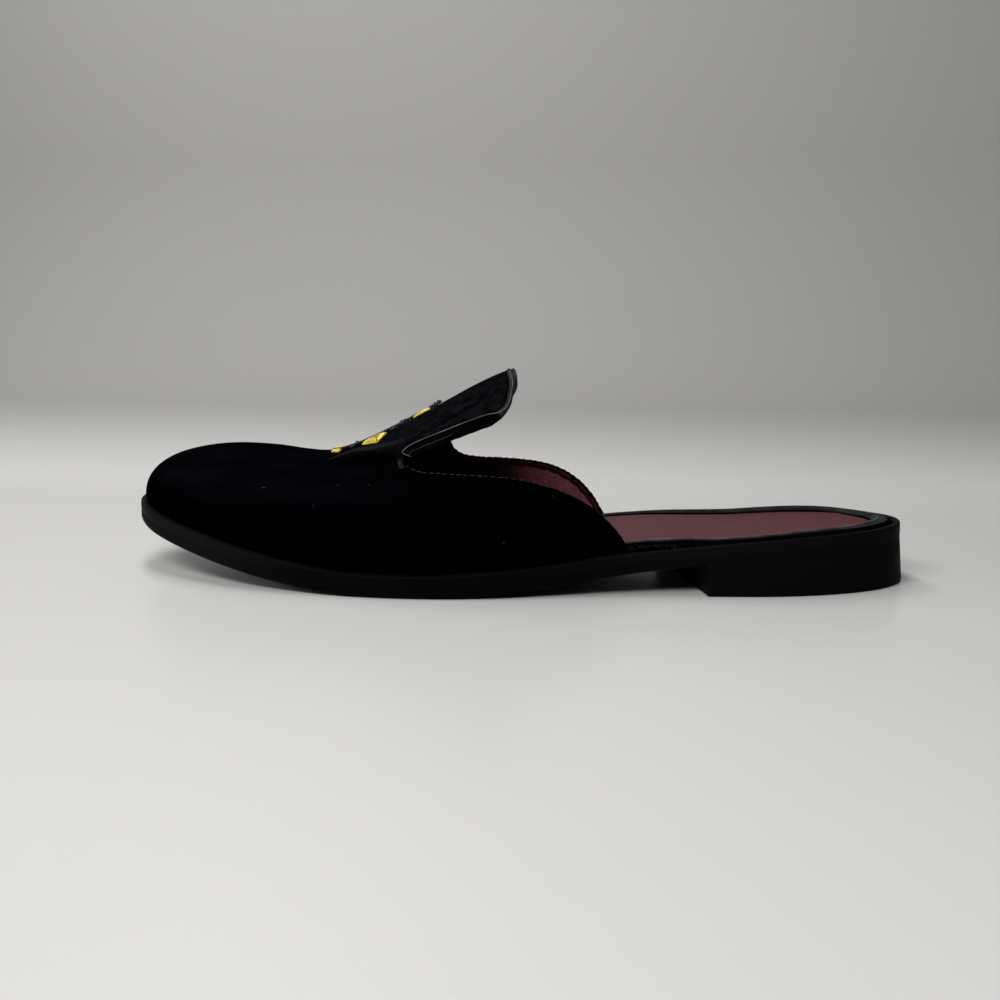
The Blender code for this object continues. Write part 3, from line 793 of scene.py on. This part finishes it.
def line_on_shell(side, stops):
    """Points of a smooth line through (from_toe, lift) stops."""
    stops = np.array(stops, float)
    run = np.linspace(0, 1, len(stops))
    fine = np.linspace(0, 1, 26)
    return shell(side, np.interp(fine, run, stops[:, 0]), np.interp(fine, run, stops[:, 1]))


def soft_line(points, path, width, height):
    """Relief of a soft ridge or trough along a path, which fades out at both ends."""
    nearest = np.full(len(points), 1e9)
    run = np.zeros(len(points))
    for k, (start, end) in enumerate(zip(path[:-1], path[1:])):
        step = end - start
        part = np.clip((points - start) @ step / (step @ step), 0, 1)
        distance = np.linalg.norm(points - start - part[:, None] * step, axis=1)
        closer = distance < nearest
        nearest[closer] = distance[closer]
        run[closer] = (k + part[closer]) / (len(path) - 1)
    return height * np.exp(-(nearest / width) ** 2) * np.sin(math.pi * run) ** 0.7


def crease_relief(points):
    """Ridges and troughs of the velvet, along the normal."""
    lines = ((line_on_shell(side, stops), width, height) for side, width, height, stops in CREASES)
    return sum(soft_line(points, *line) for line in lines)


def velvet_relief(points, creases):
    """Creases, swells of the pile and the tuck at the welt, along the normal."""
    relief = creases + NAP_HEIGHT * (unevenness(points, 19.0) + 0.5 * unevenness(points, 8.0, 5.3))
    over_welt = points[:, 2] - sole_top(from_toe(points[:, 0])) - GAP
    low = np.exp(-(np.clip(over_welt, 0, None) / 1.3) ** 2)
    return relief * (1 - low) - TUCK_DEPTH * low


def lining_top(side, t):
    """Edge of the lining; at the end of the lateral wing it shows past the velvet."""
    top = wing_lift(side, t)
    if side == MEDIAL:
        return top
    raised = lift_at_height(side, t, along(TOPLINE[side], "height", t) + LINING_PEEK)
    return top + (raised - top) * ease(*PEEK_REACH, t)


def build_upper():
    velvet = piece("velvet", shell_form(wing_lift, VELVET_COLUMNS), "velvet", ["upper"], weld=0.02)
    points, normals = mesh_points(velvet.data)
    creases = crease_relief(points)
    set_points(velvet.data, points + normals * velvet_relief(points, creases)[:, None])
    # the crease relief is kept as an attribute that paints the velvet lighter on ridges and darker in
    # troughs: painted highlight and painted shade
    crease_shade = velvet.data.attributes.new("crease_shade", "FLOAT", "POINT")
    crease_shade.data.foreach_set("value", np.clip(creases, -1, 1).astype(np.float32))
    thicken(velvet, VELVET_THICKNESS)
    lining = piece("lining", shell_form(lining_top, LINING_COLUMNS), "lining", weld=0.02)
    points, normals = mesh_points(lining.data)
    depth = LINING_DEPTH - 0.06 * unevenness(points, 11.0, 2.2)
    set_points(lining.data, points - normals * depth[:, None])
    thicken(lining, LINING_THICKNESS)


def edge_frames(path, normals, outward_sign):
    """Unit vectors that point away from an edge of the upper, in its face."""
    return unit(np.cross(headings(path), normals) * outward_sign)


def even_steps(path, step, *others):
    """Points at even steps along a path, and other rows of values read at the same places."""
    run = run_along(path)
    stops = np.linspace(0, run[-1], max(int(run[-1] / step), 2) + 1)
    rows = (path, *others)
    return [np.column_stack([np.interp(stops, run, column) for column in row.T]) for row in rows]


def topline(side, step=ROLL_STEP):
    """Edge of a wing from the front of its notch to its end: points, face normals and outward directions."""
    t = wing_rows(side)
    t = t[t >= NOTCH[side] + 0.04]
    path, normals = face_frame(side, t, wing_lift(side, t))
    path, normals = even_steps(path, step, normals)
    normals = unit(normals)
    return path, normals, edge_frames(path, normals, side)


def build_topline(side):
    """Rolled edge along the top of a wing, a line of fine stitches on it and a facing along the lining."""
    path, normals, outward = topline(side)
    centre = path + (PIPING_RADIUS - 0.05) * outward - WALL / 2 * normals
    run = np.arange(len(path)) * ROLL_STEP
    swell = 1 + 0.05 * np.sin(run * 1.9) + 0.04 * np.sin(run * 0.73 + 1)
    ends = np.minimum(1, 0.35 + np.minimum(run, run[-1] - run) / 2.5)
    turn = np.linspace(0, 2 * math.pi, 14, endpoint=False)
    radius = (PIPING_RADIUS * swell * ends)[:, None]
    rings = [centre + radius * (math.cos(a) * outward + 1.05 * math.sin(a) * normals) for a in turn]
    name = SIDE_NAMES[side]
    form = ring_form(np.stack(rings, 1))
    piece(f"rolled_edge_{name}", form, "roll", [f"topline_piping_{name}"])
    up = math.cos(EDGE_STITCH_TURN) * outward + math.sin(EDGE_STITCH_TURN) * normals
    stitches = Soup()
    add_stitches(stitches, centre + PIPING_RADIUS * up, up)
    piece(f"topline_stitches_{name}", stitches, "edge")
    wave = 0.2 * np.sin(run * 1.3) + 0.15 * np.sin(run * 0.6 + 2)
    depth = LINING_DEPTH + LINING_THICKNESS
    section = ((1.5, -0.5), (1.3, 0.1), (0.6, 0.2), (-FACING_WIDTH, 0.1), (-FACING_WIDTH, -0.1))
    rings = [path + (a + wave * (a < 0))[:, None] * outward - (depth + b) * normals for a, b in section]
    piece(f"facing_{name}", ring_form(np.stack(rings, 1)), "facing")


def add_stitches(soup, path, normals, length=STITCH_LENGTH, radius=STITCH_RADIUS, seed=0.0, kept=1.0):
    """Row of short stitches of uneven length that dip into the face at both ends; only a share is kept."""
    step = 0.1
    fine, up = even_steps(path, step, normals)
    pitch = int((length + STITCH_GAP) / step)
    run = np.linspace(0, 1, 7)
    arc = np.sin(math.pi * run)[:, None]
    bow = STITCH_RISE * arc - 0.12 * (1 - arc)
    for count, start in enumerate(range(pitch, len(fine) - 2 * pitch, pitch)):
        if 0.5 + 0.5 * math.sin(5.1 * count + 9 * seed) > kept:
            continue
        reach = length * (0.75 + 0.5 * math.sin(7.3 * count + seed) ** 2) / step
        picks = start + np.round(run * int(reach)).astype(int)
        soup.add(*tube_form(fine[picks] + up[picks] * bow, radius, 5))


def tongue_edge():
    """Edge of the tongue's wall from the lateral notch round to the medial one, with its normals and how far
    each point belongs to the end."""
    points, normals, shares = [], [], []
    for side in SIDES:
        t = tongue_rows(side)
        t = t[t >= NOTCH[side] + 0.3]
        lift = tongue_lift(side, t)
        across = lift[-1] + (1 - lift[-1]) * np.linspace(0, 1, 30)[1:]
        corner = ease(TONGUE_END - 2 * TONGUE_CORNER, TONGUE_END, t)
        shares.append(np.concatenate([corner, 1 + 0 * across]))
        t = np.concatenate([t, np.full(len(across), TONGUE_END)])
        lift = np.concatenate([lift, across])
        here, normal = face_frame(side, scooped(side, t, lift), np.minimum(lift, 0.985))
        here[-1] = shell(side, t[-1], 1.0)
        points.append(here)
        normals.append(normal)
    return tuple(np.concatenate([both[0], both[1][-2::-1]]) for both in (points, normals, shares))


def build_tongue_binding():
    """Leather strip folded over the tongue's edge, with thin pale tubes as painted highlights next to the
    velvet and at its ends.
    """
    path, normals, end = tongue_edge()
    path, normals, end = even_steps(path, ROLL_STEP, normals, end[:, None])
    normals = unit(normals)
    outward = edge_frames(path, normals, 1)
    run = np.arange(len(path)) * ROLL_STEP
    ripple = (1 - end) * (0.07 * np.sin(run * 1.15) + 0.06 * np.sin(run * 0.47 + 2))[:, None]

    def beside(out, up, end_out, end_up):
        """Line along the strip at a place of its section, given for the sides and for the end."""
        a = out + (end_out - out) * end + ripple * (out > 2)
        return path + a * outward + (up + (end_up - up) * end) * normals

    rings = np.stack([beside(*row) for row in zip(*BINDING.values())], 1)
    first, last = np.flatnonzero(end[:, 0] > 0.5)[[0, -1]]
    strip, highlights = Soup(), Soup()
    strip.add(*ring_form(rings[:first + 1]))
    strip.add(*ring_form(rings[last:]))
    strip.add(*tube_form(beside(-0.05, 0.2, 0.1, 0.08)[first:last + 1], 0.4, 8))
    highlights.add(*tube_form(beside(0.35, 0.32, 1.6, -0.1), 0.2, 8))
    fold = beside(2.78, -0.86, 1.7, 0)
    reach = np.linspace(0.3, 3.6, 12)[:, None]
    for k, stretch in ((0, fold[:24]), (-1, fold[-24:])):
        highlights.add(*tube_form(stretch, 0.1, 6))
        highlights.add(*tube_form(path[k] + reach * outward[k] - 0.4 * reach * normals[k], 0.18, 8))
    piece("tongue_strip", strip, "leather", ["tongue_binding"], sharp=75)
    # the strip across the tongue's end takes the painted light of upward faces
    piece("tongue_end_strip", ring_form(rings[first:last + 1]), "shine", sharp=75)
    piece("tongue_highlights", highlights, "bead")


def build_notch_loops():
    """Small loops of thread between the end of the tongue's strip and the start of each topline."""
    soup = Soup()
    turn = np.linspace(0, 2 * math.pi, 15)[:, None]
    for side in SIDES:
        path, normals, outward = topline(side, 0.75)
        tangent = headings(path)
        for k in range(NOTCH_LOOPS):
            wide, high = 0.75 - 0.12 * (k % 3), 0.5 + 0.1 * math.sin(2.3 * k)
            centre = path[k] + (0.15 + 0.5 * (k % 2)) * outward[k] + 0.15 * normals[k]
            along_loop = tangent[k] + 0.5 * math.sin(1.9 * k) * outward[k]
            loop = centre + wide * np.cos(turn) * along_loop + high * np.sin(turn) * outward[k]
            soup.add(*tube_form(loop + 0.12 * np.sin(2 * turn) * normals[k], 0.1, 5))
    piece("notch_loops", soup, "edge")


def build_lint():
    """Fluff that clings to the velvet."""
    soup = Soup()
    for t, lift, length, turn in zip(*LINT.values()):
        here, normal = face_frame(LATERAL, np.array(t), np.array(lift))
        ahead = unit(np.cross(normal, (0, 0, 1)))
        ahead = math.cos(turn) * ahead + math.sin(turn) * np.cross(normal, ahead)
        beside = np.cross(normal, ahead)
        run = np.linspace(-1, 1, 9)[:, None]
        path = here + length / 2 * (run * ahead + 0.3 * run ** 2 * beside) + 0.22 * normal
        soup.add(*tube_form(path, 0.09 * np.sqrt(1.05 - run[:, 0] ** 2), 5))
    piece("lint", soup, "lint")


# Embroidery


def vamp_top(t, across):
    """Point and normal on top of the vamp; across is the plan distance from the ridge, lateral negative."""
    t, across = np.broadcast_arrays(np.asarray(t, float), np.asarray(across, float))
    safe = 1.6
    frames = {}
    for side in SIDES:
        width = np.clip(across * side, 0, None)
        here = shell(side, t, lift_at_width(side, t, width))
        normal = face_frame(side, t, lift_at_width(side, t, np.maximum(width, safe)))[1]
        frames[side] = here, normal
    share = np.clip((across + safe) / (2 * safe), 0, 1)[..., None]
    normal = frames[LATERAL][1] * (1 - share) + frames[MEDIAL][1] * share
    here = np.where((across < 0)[..., None], frames[LATERAL][0], frames[MEDIAL][0])
    return here, unit(normal)


def leaf_outline(run):
    """Half width along a leaf as a share of the widest place."""
    return np.sin(math.pi * np.clip(run, 0, 1) ** 0.8) ** 0.85


def add_leaf(satin, pad, root, tip, half_width):
    """Leaf of slanted satin stitches over a low pad, with a vein down its middle."""
    root, tip = np.array(root, float), np.array(tip, float)
    length = np.linalg.norm(tip - root)
    ahead = (tip - root) / length
    beside = np.array([-ahead[1], ahead[0]])

    def lifted(run, offset, height):
        bow = 0.12 * length * np.sin(math.pi * run)
        spot = root + np.multiply.outer(run * length, ahead) + np.multiply.outer(offset + bow, beside)
        here, normal = vamp_top(spot[..., 0], spot[..., 1])
        return here + normal * np.asarray(height)[..., None]

    run = np.linspace(0.02, 0.98, 16)[:, None]
    part = np.linspace(-1, 1, 9)[None, :]
    width = half_width * leaf_outline(run) * part
    dome = 0.3 + (SATIN_RISE - 0.35) * (1 - part ** 2) * np.minimum(1, 4 * run * (1 - run))
    over = lifted(run + 0 * part, width, dome)
    under = lifted(run + 0 * part, width, 0 * dome + 0.05)[:, ::-1]
    pad.add(*ring_form(np.concatenate([over, under], axis=1)))
    count = int(length / (1.75 * THREAD_RADIUS))
    reach = np.linspace(0, 1, 6)
    crown = np.sqrt(np.clip(1.02 - reach ** 2, 0, 1))
    for sign in SIDES:
        for start in np.linspace(0.0, 0.9, count):
            slant = start + 0.2 * reach * (1 - start)
            offset = sign * (0.1 + half_width * leaf_outline(slant) * reach)
            middle = np.minimum(1, 0.25 + 4 * slant * (1 - slant))
            height = 0.12 + SATIN_RISE * middle * crown - 0.3 * (reach < 0.05)
            satin.add(*tube_form(lifted(slant, offset, height), THREAD_RADIUS, 5))


def add_stem(soup):
    """Two-ply cord along the middle of the spray."""
    t = np.linspace(SPRAY_FROM, SPRAY_TO, int((SPRAY_TO - SPRAY_FROM) * 3))
    here, normal = vamp_top(t, 0.4 * np.sin(t * 0.35))
    sideways = unit(np.cross(np.gradient(here, axis=0), normal))
    for phase in (0, math.pi):
        angle = (t * STEM_TWIST + phase)[:, None]
        path = here + normal * (0.75 + 0.34 * np.sin(angle)) + sideways * (0.34 * np.cos(angle))
        soup.add(*tube_form(path, 0.42, 7))


def add_knot(soup, t, across, size):
    """Knot of thread coiled up to a point."""
    here, normal = vamp_top(t, across)
    first = unit(np.cross(normal, (1, 0, 0)))
    second = np.cross(normal, first)
    run = np.linspace(0, 1, 34)
    angle = run * 2 * math.pi * 2.6
    radius = size * (1 - 0.85 * run)
    path = here + np.outer(radius * np.cos(angle), first) + np.outer(radius * np.sin(angle), second)
    path = path + np.outer(0.45 + 1.0 * run ** 1.3, normal)
    soup.add(*tube_form(path, 0.36 * size, 6))


def build_embroidery():
    """Spray of gold leaves in pairs on a dark stem, with knots of dark thread between them."""
    gold, pad, dark = Soup(), Soup(), Soup()
    for side in SIDES:
        for root, root_out, tip, tip_out, width in zip(*LEAVES.values()):
            add_leaf(gold, pad, (root, side * root_out), (tip, side * tip_out), width)
        for t, out, size in zip(*KNOTS.values()):
            add_knot(dark, t, side * out, size)
    add_stem(dark)
    piece("embroidery_gold", gold, "gold", ["embroidery"])
    piece("embroidery_pad", pad, "gold_pad")
    piece("embroidery_stem", dark, "knot")


# Materials


class Shader:
    """Principled material with short ways to add procedural detail."""

    def __init__(self, name, roughness, **uniform):
        self.material = bpy.data.materials.new(name)
        self.material.use_nodes = True
        self.nodes = self.material.node_tree.nodes
        self.links = self.material.node_tree.links
        self.main = self.nodes["Principled BSDF"]
        self.main.inputs["Roughness"].default_value = roughness
        for key, value in uniform.items():
            self.main.inputs[key.replace("_", " ")].default_value = value
        self.place = self.nodes.new("ShaderNodeTexCoord").outputs["Object"]

    def node(self, kind, values=(), **settings):
        made = self.nodes.new(kind)
        for key, value in settings.items():
            setattr(made, key, value)
        for key, value in values:
            if isinstance(value, bpy.types.NodeSocket):
                self.links.new(value, made.inputs[key])
            else:
                made.inputs[key].default_value = value
        return made

    def axis(self, number):
        """Place along the shoe, across it or over the floor."""
        return self.node("ShaderNodeSeparateXYZ", ((0, self.place),)).outputs[number]

    def stretched(self, x, y, z):
        return self.node("ShaderNodeMapping", (("Vector", self.place), ("Scale", (x, y, z)))).outputs[0]

    def noise(self, scale, detail=2.0, place=None):
        values = (("Vector", place or self.place), ("Scale", scale), ("Detail", detail))
        return self.node("ShaderNodeTexNoise", values).outputs["Fac"]

    def cells(self, scale):
        values = (("Vector", self.place), ("Scale", scale))
        return self.node("ShaderNodeTexVoronoi", values).outputs["Distance"]

    def span(self, value, low, high, to_low=0.0, to_high=1.0):
        values = ((0, value), (1, low), (2, high), (3, to_low), (4, to_high))
        return self.node("ShaderNodeMapRange", values, interpolation_type="SMOOTHSTEP").outputs[0]

    def math(self, operation, first, second):
        return self.node("ShaderNodeMath", ((0, first), (1, second)), operation=operation).outputs[0]

    def blend(self, share, first, second):
        colors = [c if isinstance(c, bpy.types.NodeSocket) else (*c, 1) for c in (first, second)]
        values = ((0, share), (6, colors[0]), (7, colors[1]))
        return self.node("ShaderNodeMix", values, data_type="RGBA").outputs[2]

    def color(self, value):
        self.links.new(value, self.main.inputs["Base Color"])

    def rough(self, value):
        self.links.new(value, self.main.inputs["Roughness"])

    def bump(self, *layers):
        """Layers of (height, strength, distance in millimetres), coarse first."""
        normal = None
        for height, strength, distance in layers:
            values = [("Height", height), ("Strength", strength), ("Distance", distance * MM)]
            if normal is not None:
                values.append(("Normal", normal))
            normal = self.node("ShaderNodeBump", values).outputs[0]
        self.links.new(normal, self.main.inputs["Normal"])


def velvet_material(name, dark, toe, tongue):
    """Near-black pile with painted light: the top of the toe is painted lighter in streaks and the top of the
    tongue lighter in rough patches; the upright sides keep the darkest tone as painted shade."""
    s = Shader(name, 1.0, Specular_IOR_Level=0.0)
    along_shoe, over_floor = s.axis(0), s.axis(2)
    streak = s.span(s.noise(75, 6, s.stretched(0.5, 1.0, 2.2)), 0.35, 0.7, 0.3, 1.0)
    crumple = s.noise(330, 5)
    pile = s.noise(2600, 3)
    crease_shade = s.node("ShaderNodeAttribute", attribute_name="crease_shade").outputs["Fac"]
    # painted light: mask for the lit top of the toe, above the upright sides and fading towards the back
    front = s.math("MULTIPLY", s.span(over_floor, 0.024, 0.04), s.span(along_shoe, -0.045, -0.02, 1.0, 0.1))
    # painted light: mask for the lit top of the tongue, broken up by the crumple noise
    raised = s.math("MULTIPLY", s.span(over_floor, 0.046, 0.056), s.span(crumple, 0.38, 0.66, 0.35, 1.0))
    cloth = s.blend(s.math("MULTIPLY", streak, front), dark, toe)
    cloth = s.blend(raised, cloth, tongue)
    # painted highlight on the crease ridges and painted shade in the crease troughs
    cloth = s.blend(s.span(crease_shade, 0.12, 0.55, 0.0, 0.9), cloth, tuple(1.9 * c for c in tongue))
    cloth = s.blend(s.span(crease_shade, -0.5, -0.05, 0.9, 0.0), cloth, dark)
    s.color(s.blend(s.span(pile, 0.45, 0.85), cloth, dark))
    s.bump((streak, 0.12, 0.4), (crumple, 0.25, 0.5), (pile, 0.5, 0.35))
    return s.material


def leather_material(name, dark, light, roughness, gloss):
    """Smooth finished leather with a fine grain; roughness is a low and a high value."""
    s = Shader(name, roughness[0], Specular_IOR_Level=gloss)
    cloud = s.noise(120, 3)
    cells = s.cells(1300)
    s.color(s.blend(s.span(cloud, 0.3, 0.7), dark, light))
    s.rough(s.span(s.noise(260, 3), 0.3, 0.7, *roughness))
    s.bump((cloud, 0.1, 0.3), (cells, 0.22, 0.12))
    return s.material


def sock_material():
    """Leather with a fine pale speckle."""
    s = Shader("sock", 0.6, Specular_IOR_Level=0.25)
    grain = s.cells(1150)
    pores = s.noise(1500, 3)
    skin = s.blend(s.span(pores, 0.45, 0.75), (0.109, 0.0247, 0.0297), (0.18, 0.057, 0.066))
    s.color(s.blend(s.span(grain, 0.3, 0.75), skin, (0.076, 0.0155, 0.0195)))
    s.bump((grain, 0.3, 0.12), (pores, 0.2, 0.06))
    return s.material


def lining_material():
    """Rough leather, dark where the tongue keeps the light out."""
    s = Shader("lining", 0.65, Specular_IOR_Level=0.25)
    grain = s.noise(1300, 3)
    skin = s.blend(s.span(grain, 0.35, 0.7), (0.15, 0.03, 0.048), (0.27, 0.1, 0.125))
    s.color(s.blend(s.span(s.axis(0), -0.018, 0.006), (0.006, 0.002, 0.002), skin))
    s.bump((grain, 0.4, 0.2))
    return s.material


def rubber_material(name, dark, light, roughness):
    """Moulded rubber with faint flow marks, dull scuffs and a fine stipple; toe and heel are painted paler,
    as painted light.
    """
    s = Shader(name, roughness[0], Specular_IOR_Level=0.02)
    flow = s.noise(60, 4, s.stretched(0.25, 0.25, 3.0))
    stipple = s.noise(1900, 2)
    scuff = s.span(s.noise(240, 5, s.stretched(0.35, 0.35, 1.6)), 0.6, 0.78)
    rubber = s.blend(s.span(flow, 0.3, 0.7), dark, light)
    along_shoe = s.axis(0)
    # painted light: the toe and the heel are painted paler than the middle of the sole
    painted_lit_ends = s.blend(s.span(along_shoe, -0.13, -0.06), tuple(2.4 * c for c in light), rubber)
    painted_lit_ends = s.blend(s.span(along_shoe, 0.02, 0.06, 0.0, 0.8), painted_lit_ends, tuple(1.7 * c for c in light))
    s.color(s.blend(s.math("MULTIPLY", scuff, 0.3), painted_lit_ends, (0.007, 0.007, 0.008)))
    s.rough(s.span(s.math("ADD", flow, s.math("MULTIPLY", scuff, 0.4)), 0.3, 0.9, *roughness))
    s.bump((flow, 0.1, 0.4), (stipple, 0.16, 0.1))
    return s.material


def thread_material(name, dark, light, roughness, metallic=0.0):
    s = Shader(name, roughness, Metallic=metallic, Specular_IOR_Level=0.4)
    shade = s.span(s.noise(420, 3), 0.3, 0.7)
    fibre = s.noise(5200, 2)
    s.color(s.blend(shade, dark, light))
    s.bump((fibre, 0.35, 0.08))
    return s.material


def make_materials():
    """Materials by look. A row has the name, the dark and the light tone and the finish."""
    pitch = (0.0003, 0.0003, 0.0005)
    leathers = {
        "facing": ("facing_leather", (0.03, 0.006, 0.009), (0.05, 0.01, 0.016), (0.55, 0.7), 0.05),
        "leather": ("binding_leather", (0.0012, 0.0012, 0.0015), (0.0026, 0.0026, 0.0029), (0.45, 0.6), 0.0),
        # painted light: lighter copy of the binding leather for its lit upper faces
        "shine": ("binding_shine", (0.008, 0.008, 0.0085), (0.03, 0.03, 0.031), (0.4, 0.5), 0.04),
        # painted highlight: pale copy of the binding leather for the thin lines where light catches the folds
        "bead": ("binding_bead", (0.05, 0.05, 0.052), (0.14, 0.14, 0.143), (0.35, 0.45), 0.2),
    }
    rubbers = {
        "rubber": ("sole_rubber", (0.0014, 0.0015, 0.0018), (0.0024, 0.0025, 0.0029), (0.5, 0.68)),
        # the welt is painted a little paler than the outsole, as painted light on the upper band of the
        # sole's side
        "welt": ("welt_rubber", (0.0018, 0.0019, 0.0022), (0.003, 0.0031, 0.0035), (0.45, 0.6)),
    }
    threads = {
        "edge": ("edge_thread", (0.006, 0.0058, 0.0057), (0.026, 0.025, 0.0245), 0.55),
        "lint": ("lint", (0.022, 0.022, 0.022), (0.05, 0.05, 0.05), 0.8),
        "gold": ("gold_thread", (0.66, 0.5, 0.07), (0.95, 0.78, 0.2), 0.38, 0.5),
        "gold_pad": ("gold_pad", (0.4, 0.29, 0.05), (0.52, 0.4, 0.1), 0.6, 0.2),
        "knot": ("dark_thread", (0.006, 0.006, 0.007), (0.016, 0.016, 0.018), 0.4),
    }
    made = {"lining": lining_material(), "sock": sock_material()}
    # the second and third colours are painted light on the top of the toe and of the tongue
    made["velvet"] = velvet_material("velvet", pitch, (0.0026, 0.003, 0.0046), (0.0072, 0.0076, 0.0092))
    made["roll"] = velvet_material("rolled_edge", pitch, (0.001, 0.001, 0.0013), (0.002, 0.002, 0.0025))
    for maker, rows in ((leather_material, leathers), (rubber_material, rubbers), (thread_material, threads)):
        made.update({look: maker(*row) for look, row in rows.items()})
    return made


# Stage
STAGE_DEPTH, STAGE_CURVE = 0.62, 0.22  # in metres: floor behind the shoe, radius up to the backdrop
STAGE_GLOSS = 0.25  # roughness of the floor next to the shoe


def build_stage():
    """Pale floor that curves up into a backdrop."""
    profile = [(-1.6, 0.0), (STAGE_DEPTH, 0.0)]
    for angle in np.linspace(0, math.pi / 2, 17)[1:]:
        profile.append((STAGE_DEPTH + STAGE_CURVE * math.sin(angle), STAGE_CURVE * (1 - math.cos(angle))))
    profile.append((STAGE_DEPTH + STAGE_CURVE, 1.8))
    across = np.linspace(-2.2, 2.2, 3)
    points = [(x, y, z) for y, z in profile for x in across]
    mesh = bpy.data.meshes.new("stage")
    mesh.from_pydata(points, [], grid_faces(len(profile), len(across)))
    mesh.polygons.foreach_set("use_smooth", [True] * len(mesh.polygons))
    stage = linked("stage", mesh)
    s = Shader("stage", STAGE_GLOSS, Specular_IOR_Level=0.28)
    behind = s.axis(1)
    # painted shade: the floor behind the shoe and the backdrop are painted darker than the floor in front
    s.color(s.blend(s.span(behind, 0.1, 0.6), (0.8, 0.79, 0.77), (0.54, 0.533, 0.52)))
    s.rough(s.span(behind, 0.12, 0.3, STAGE_GLOSS, 1.0))
    mesh.materials.append(s.material)


def aim(made, place, target):
    """Puts a lamp or the camera in its place, turned to the target."""
    made.location = place
    made.rotation_euler = (Vector(target) - Vector(place)).to_track_quat("-Z", "Y").to_euler()


def add_area(name, place, target, size, power):
    light = bpy.data.lights.new(name, "AREA")
    light.shape = "RECTANGLE"
    light.size, light.size_y = size
    light.energy = power
    aim(linked(name, light), place, target)


def build_light():
    world = bpy.data.worlds.new("studio")
    world.use_nodes = True
    sky = world.node_tree.nodes["Background"].inputs
    sky["Color"].default_value = (0.95, 0.97, 1.0, 1)
    sky["Strength"].default_value = 0.035
    bpy.context.scene.world = world
    add_area("key", (-0.26, -0.8, 0.8), (0.0, 0.0, 0.0), (0.9, 0.24), 7.2)
    add_area("fill", (-0.85, -0.22, 0.28), (-0.1, 0.0, 0.0), (0.4, 0.2), 1.2)
    add_area("back", (-0.22, 0.2, 0.95), (-0.17, 0.22, 0.0), (1.2, 0.2), 5.0)
    bpy.context.scene.view_settings.view_transform = "Standard"


def build_camera():
    """Camera of the photograph: low, level with the lateral side and a little towards the heel."""
    data = bpy.data.cameras.new("camera")
    data.sensor_width = 36.0
    data.lens = 48.17
    camera = linked("camera", data)
    aim(camera, (0.0590, -0.5083, 0.1180), (-0.0034, 0.0, 0.0277))
    bpy.context.scene.camera = camera


def clear_scene():
    for old in list(bpy.data.objects):
        bpy.data.objects.remove(old, do_unlink=True)


def main():
    clear_scene()
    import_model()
    LOOKS.update(make_materials())
    build_sole()
    build_insole()
    build_upper()
    for side in SIDES:
        build_topline(side)
    build_tongue_binding()
    build_notch_loops()
    build_lint()
    build_embroidery()
    build_stage()
    build_light()
    build_camera()


main()
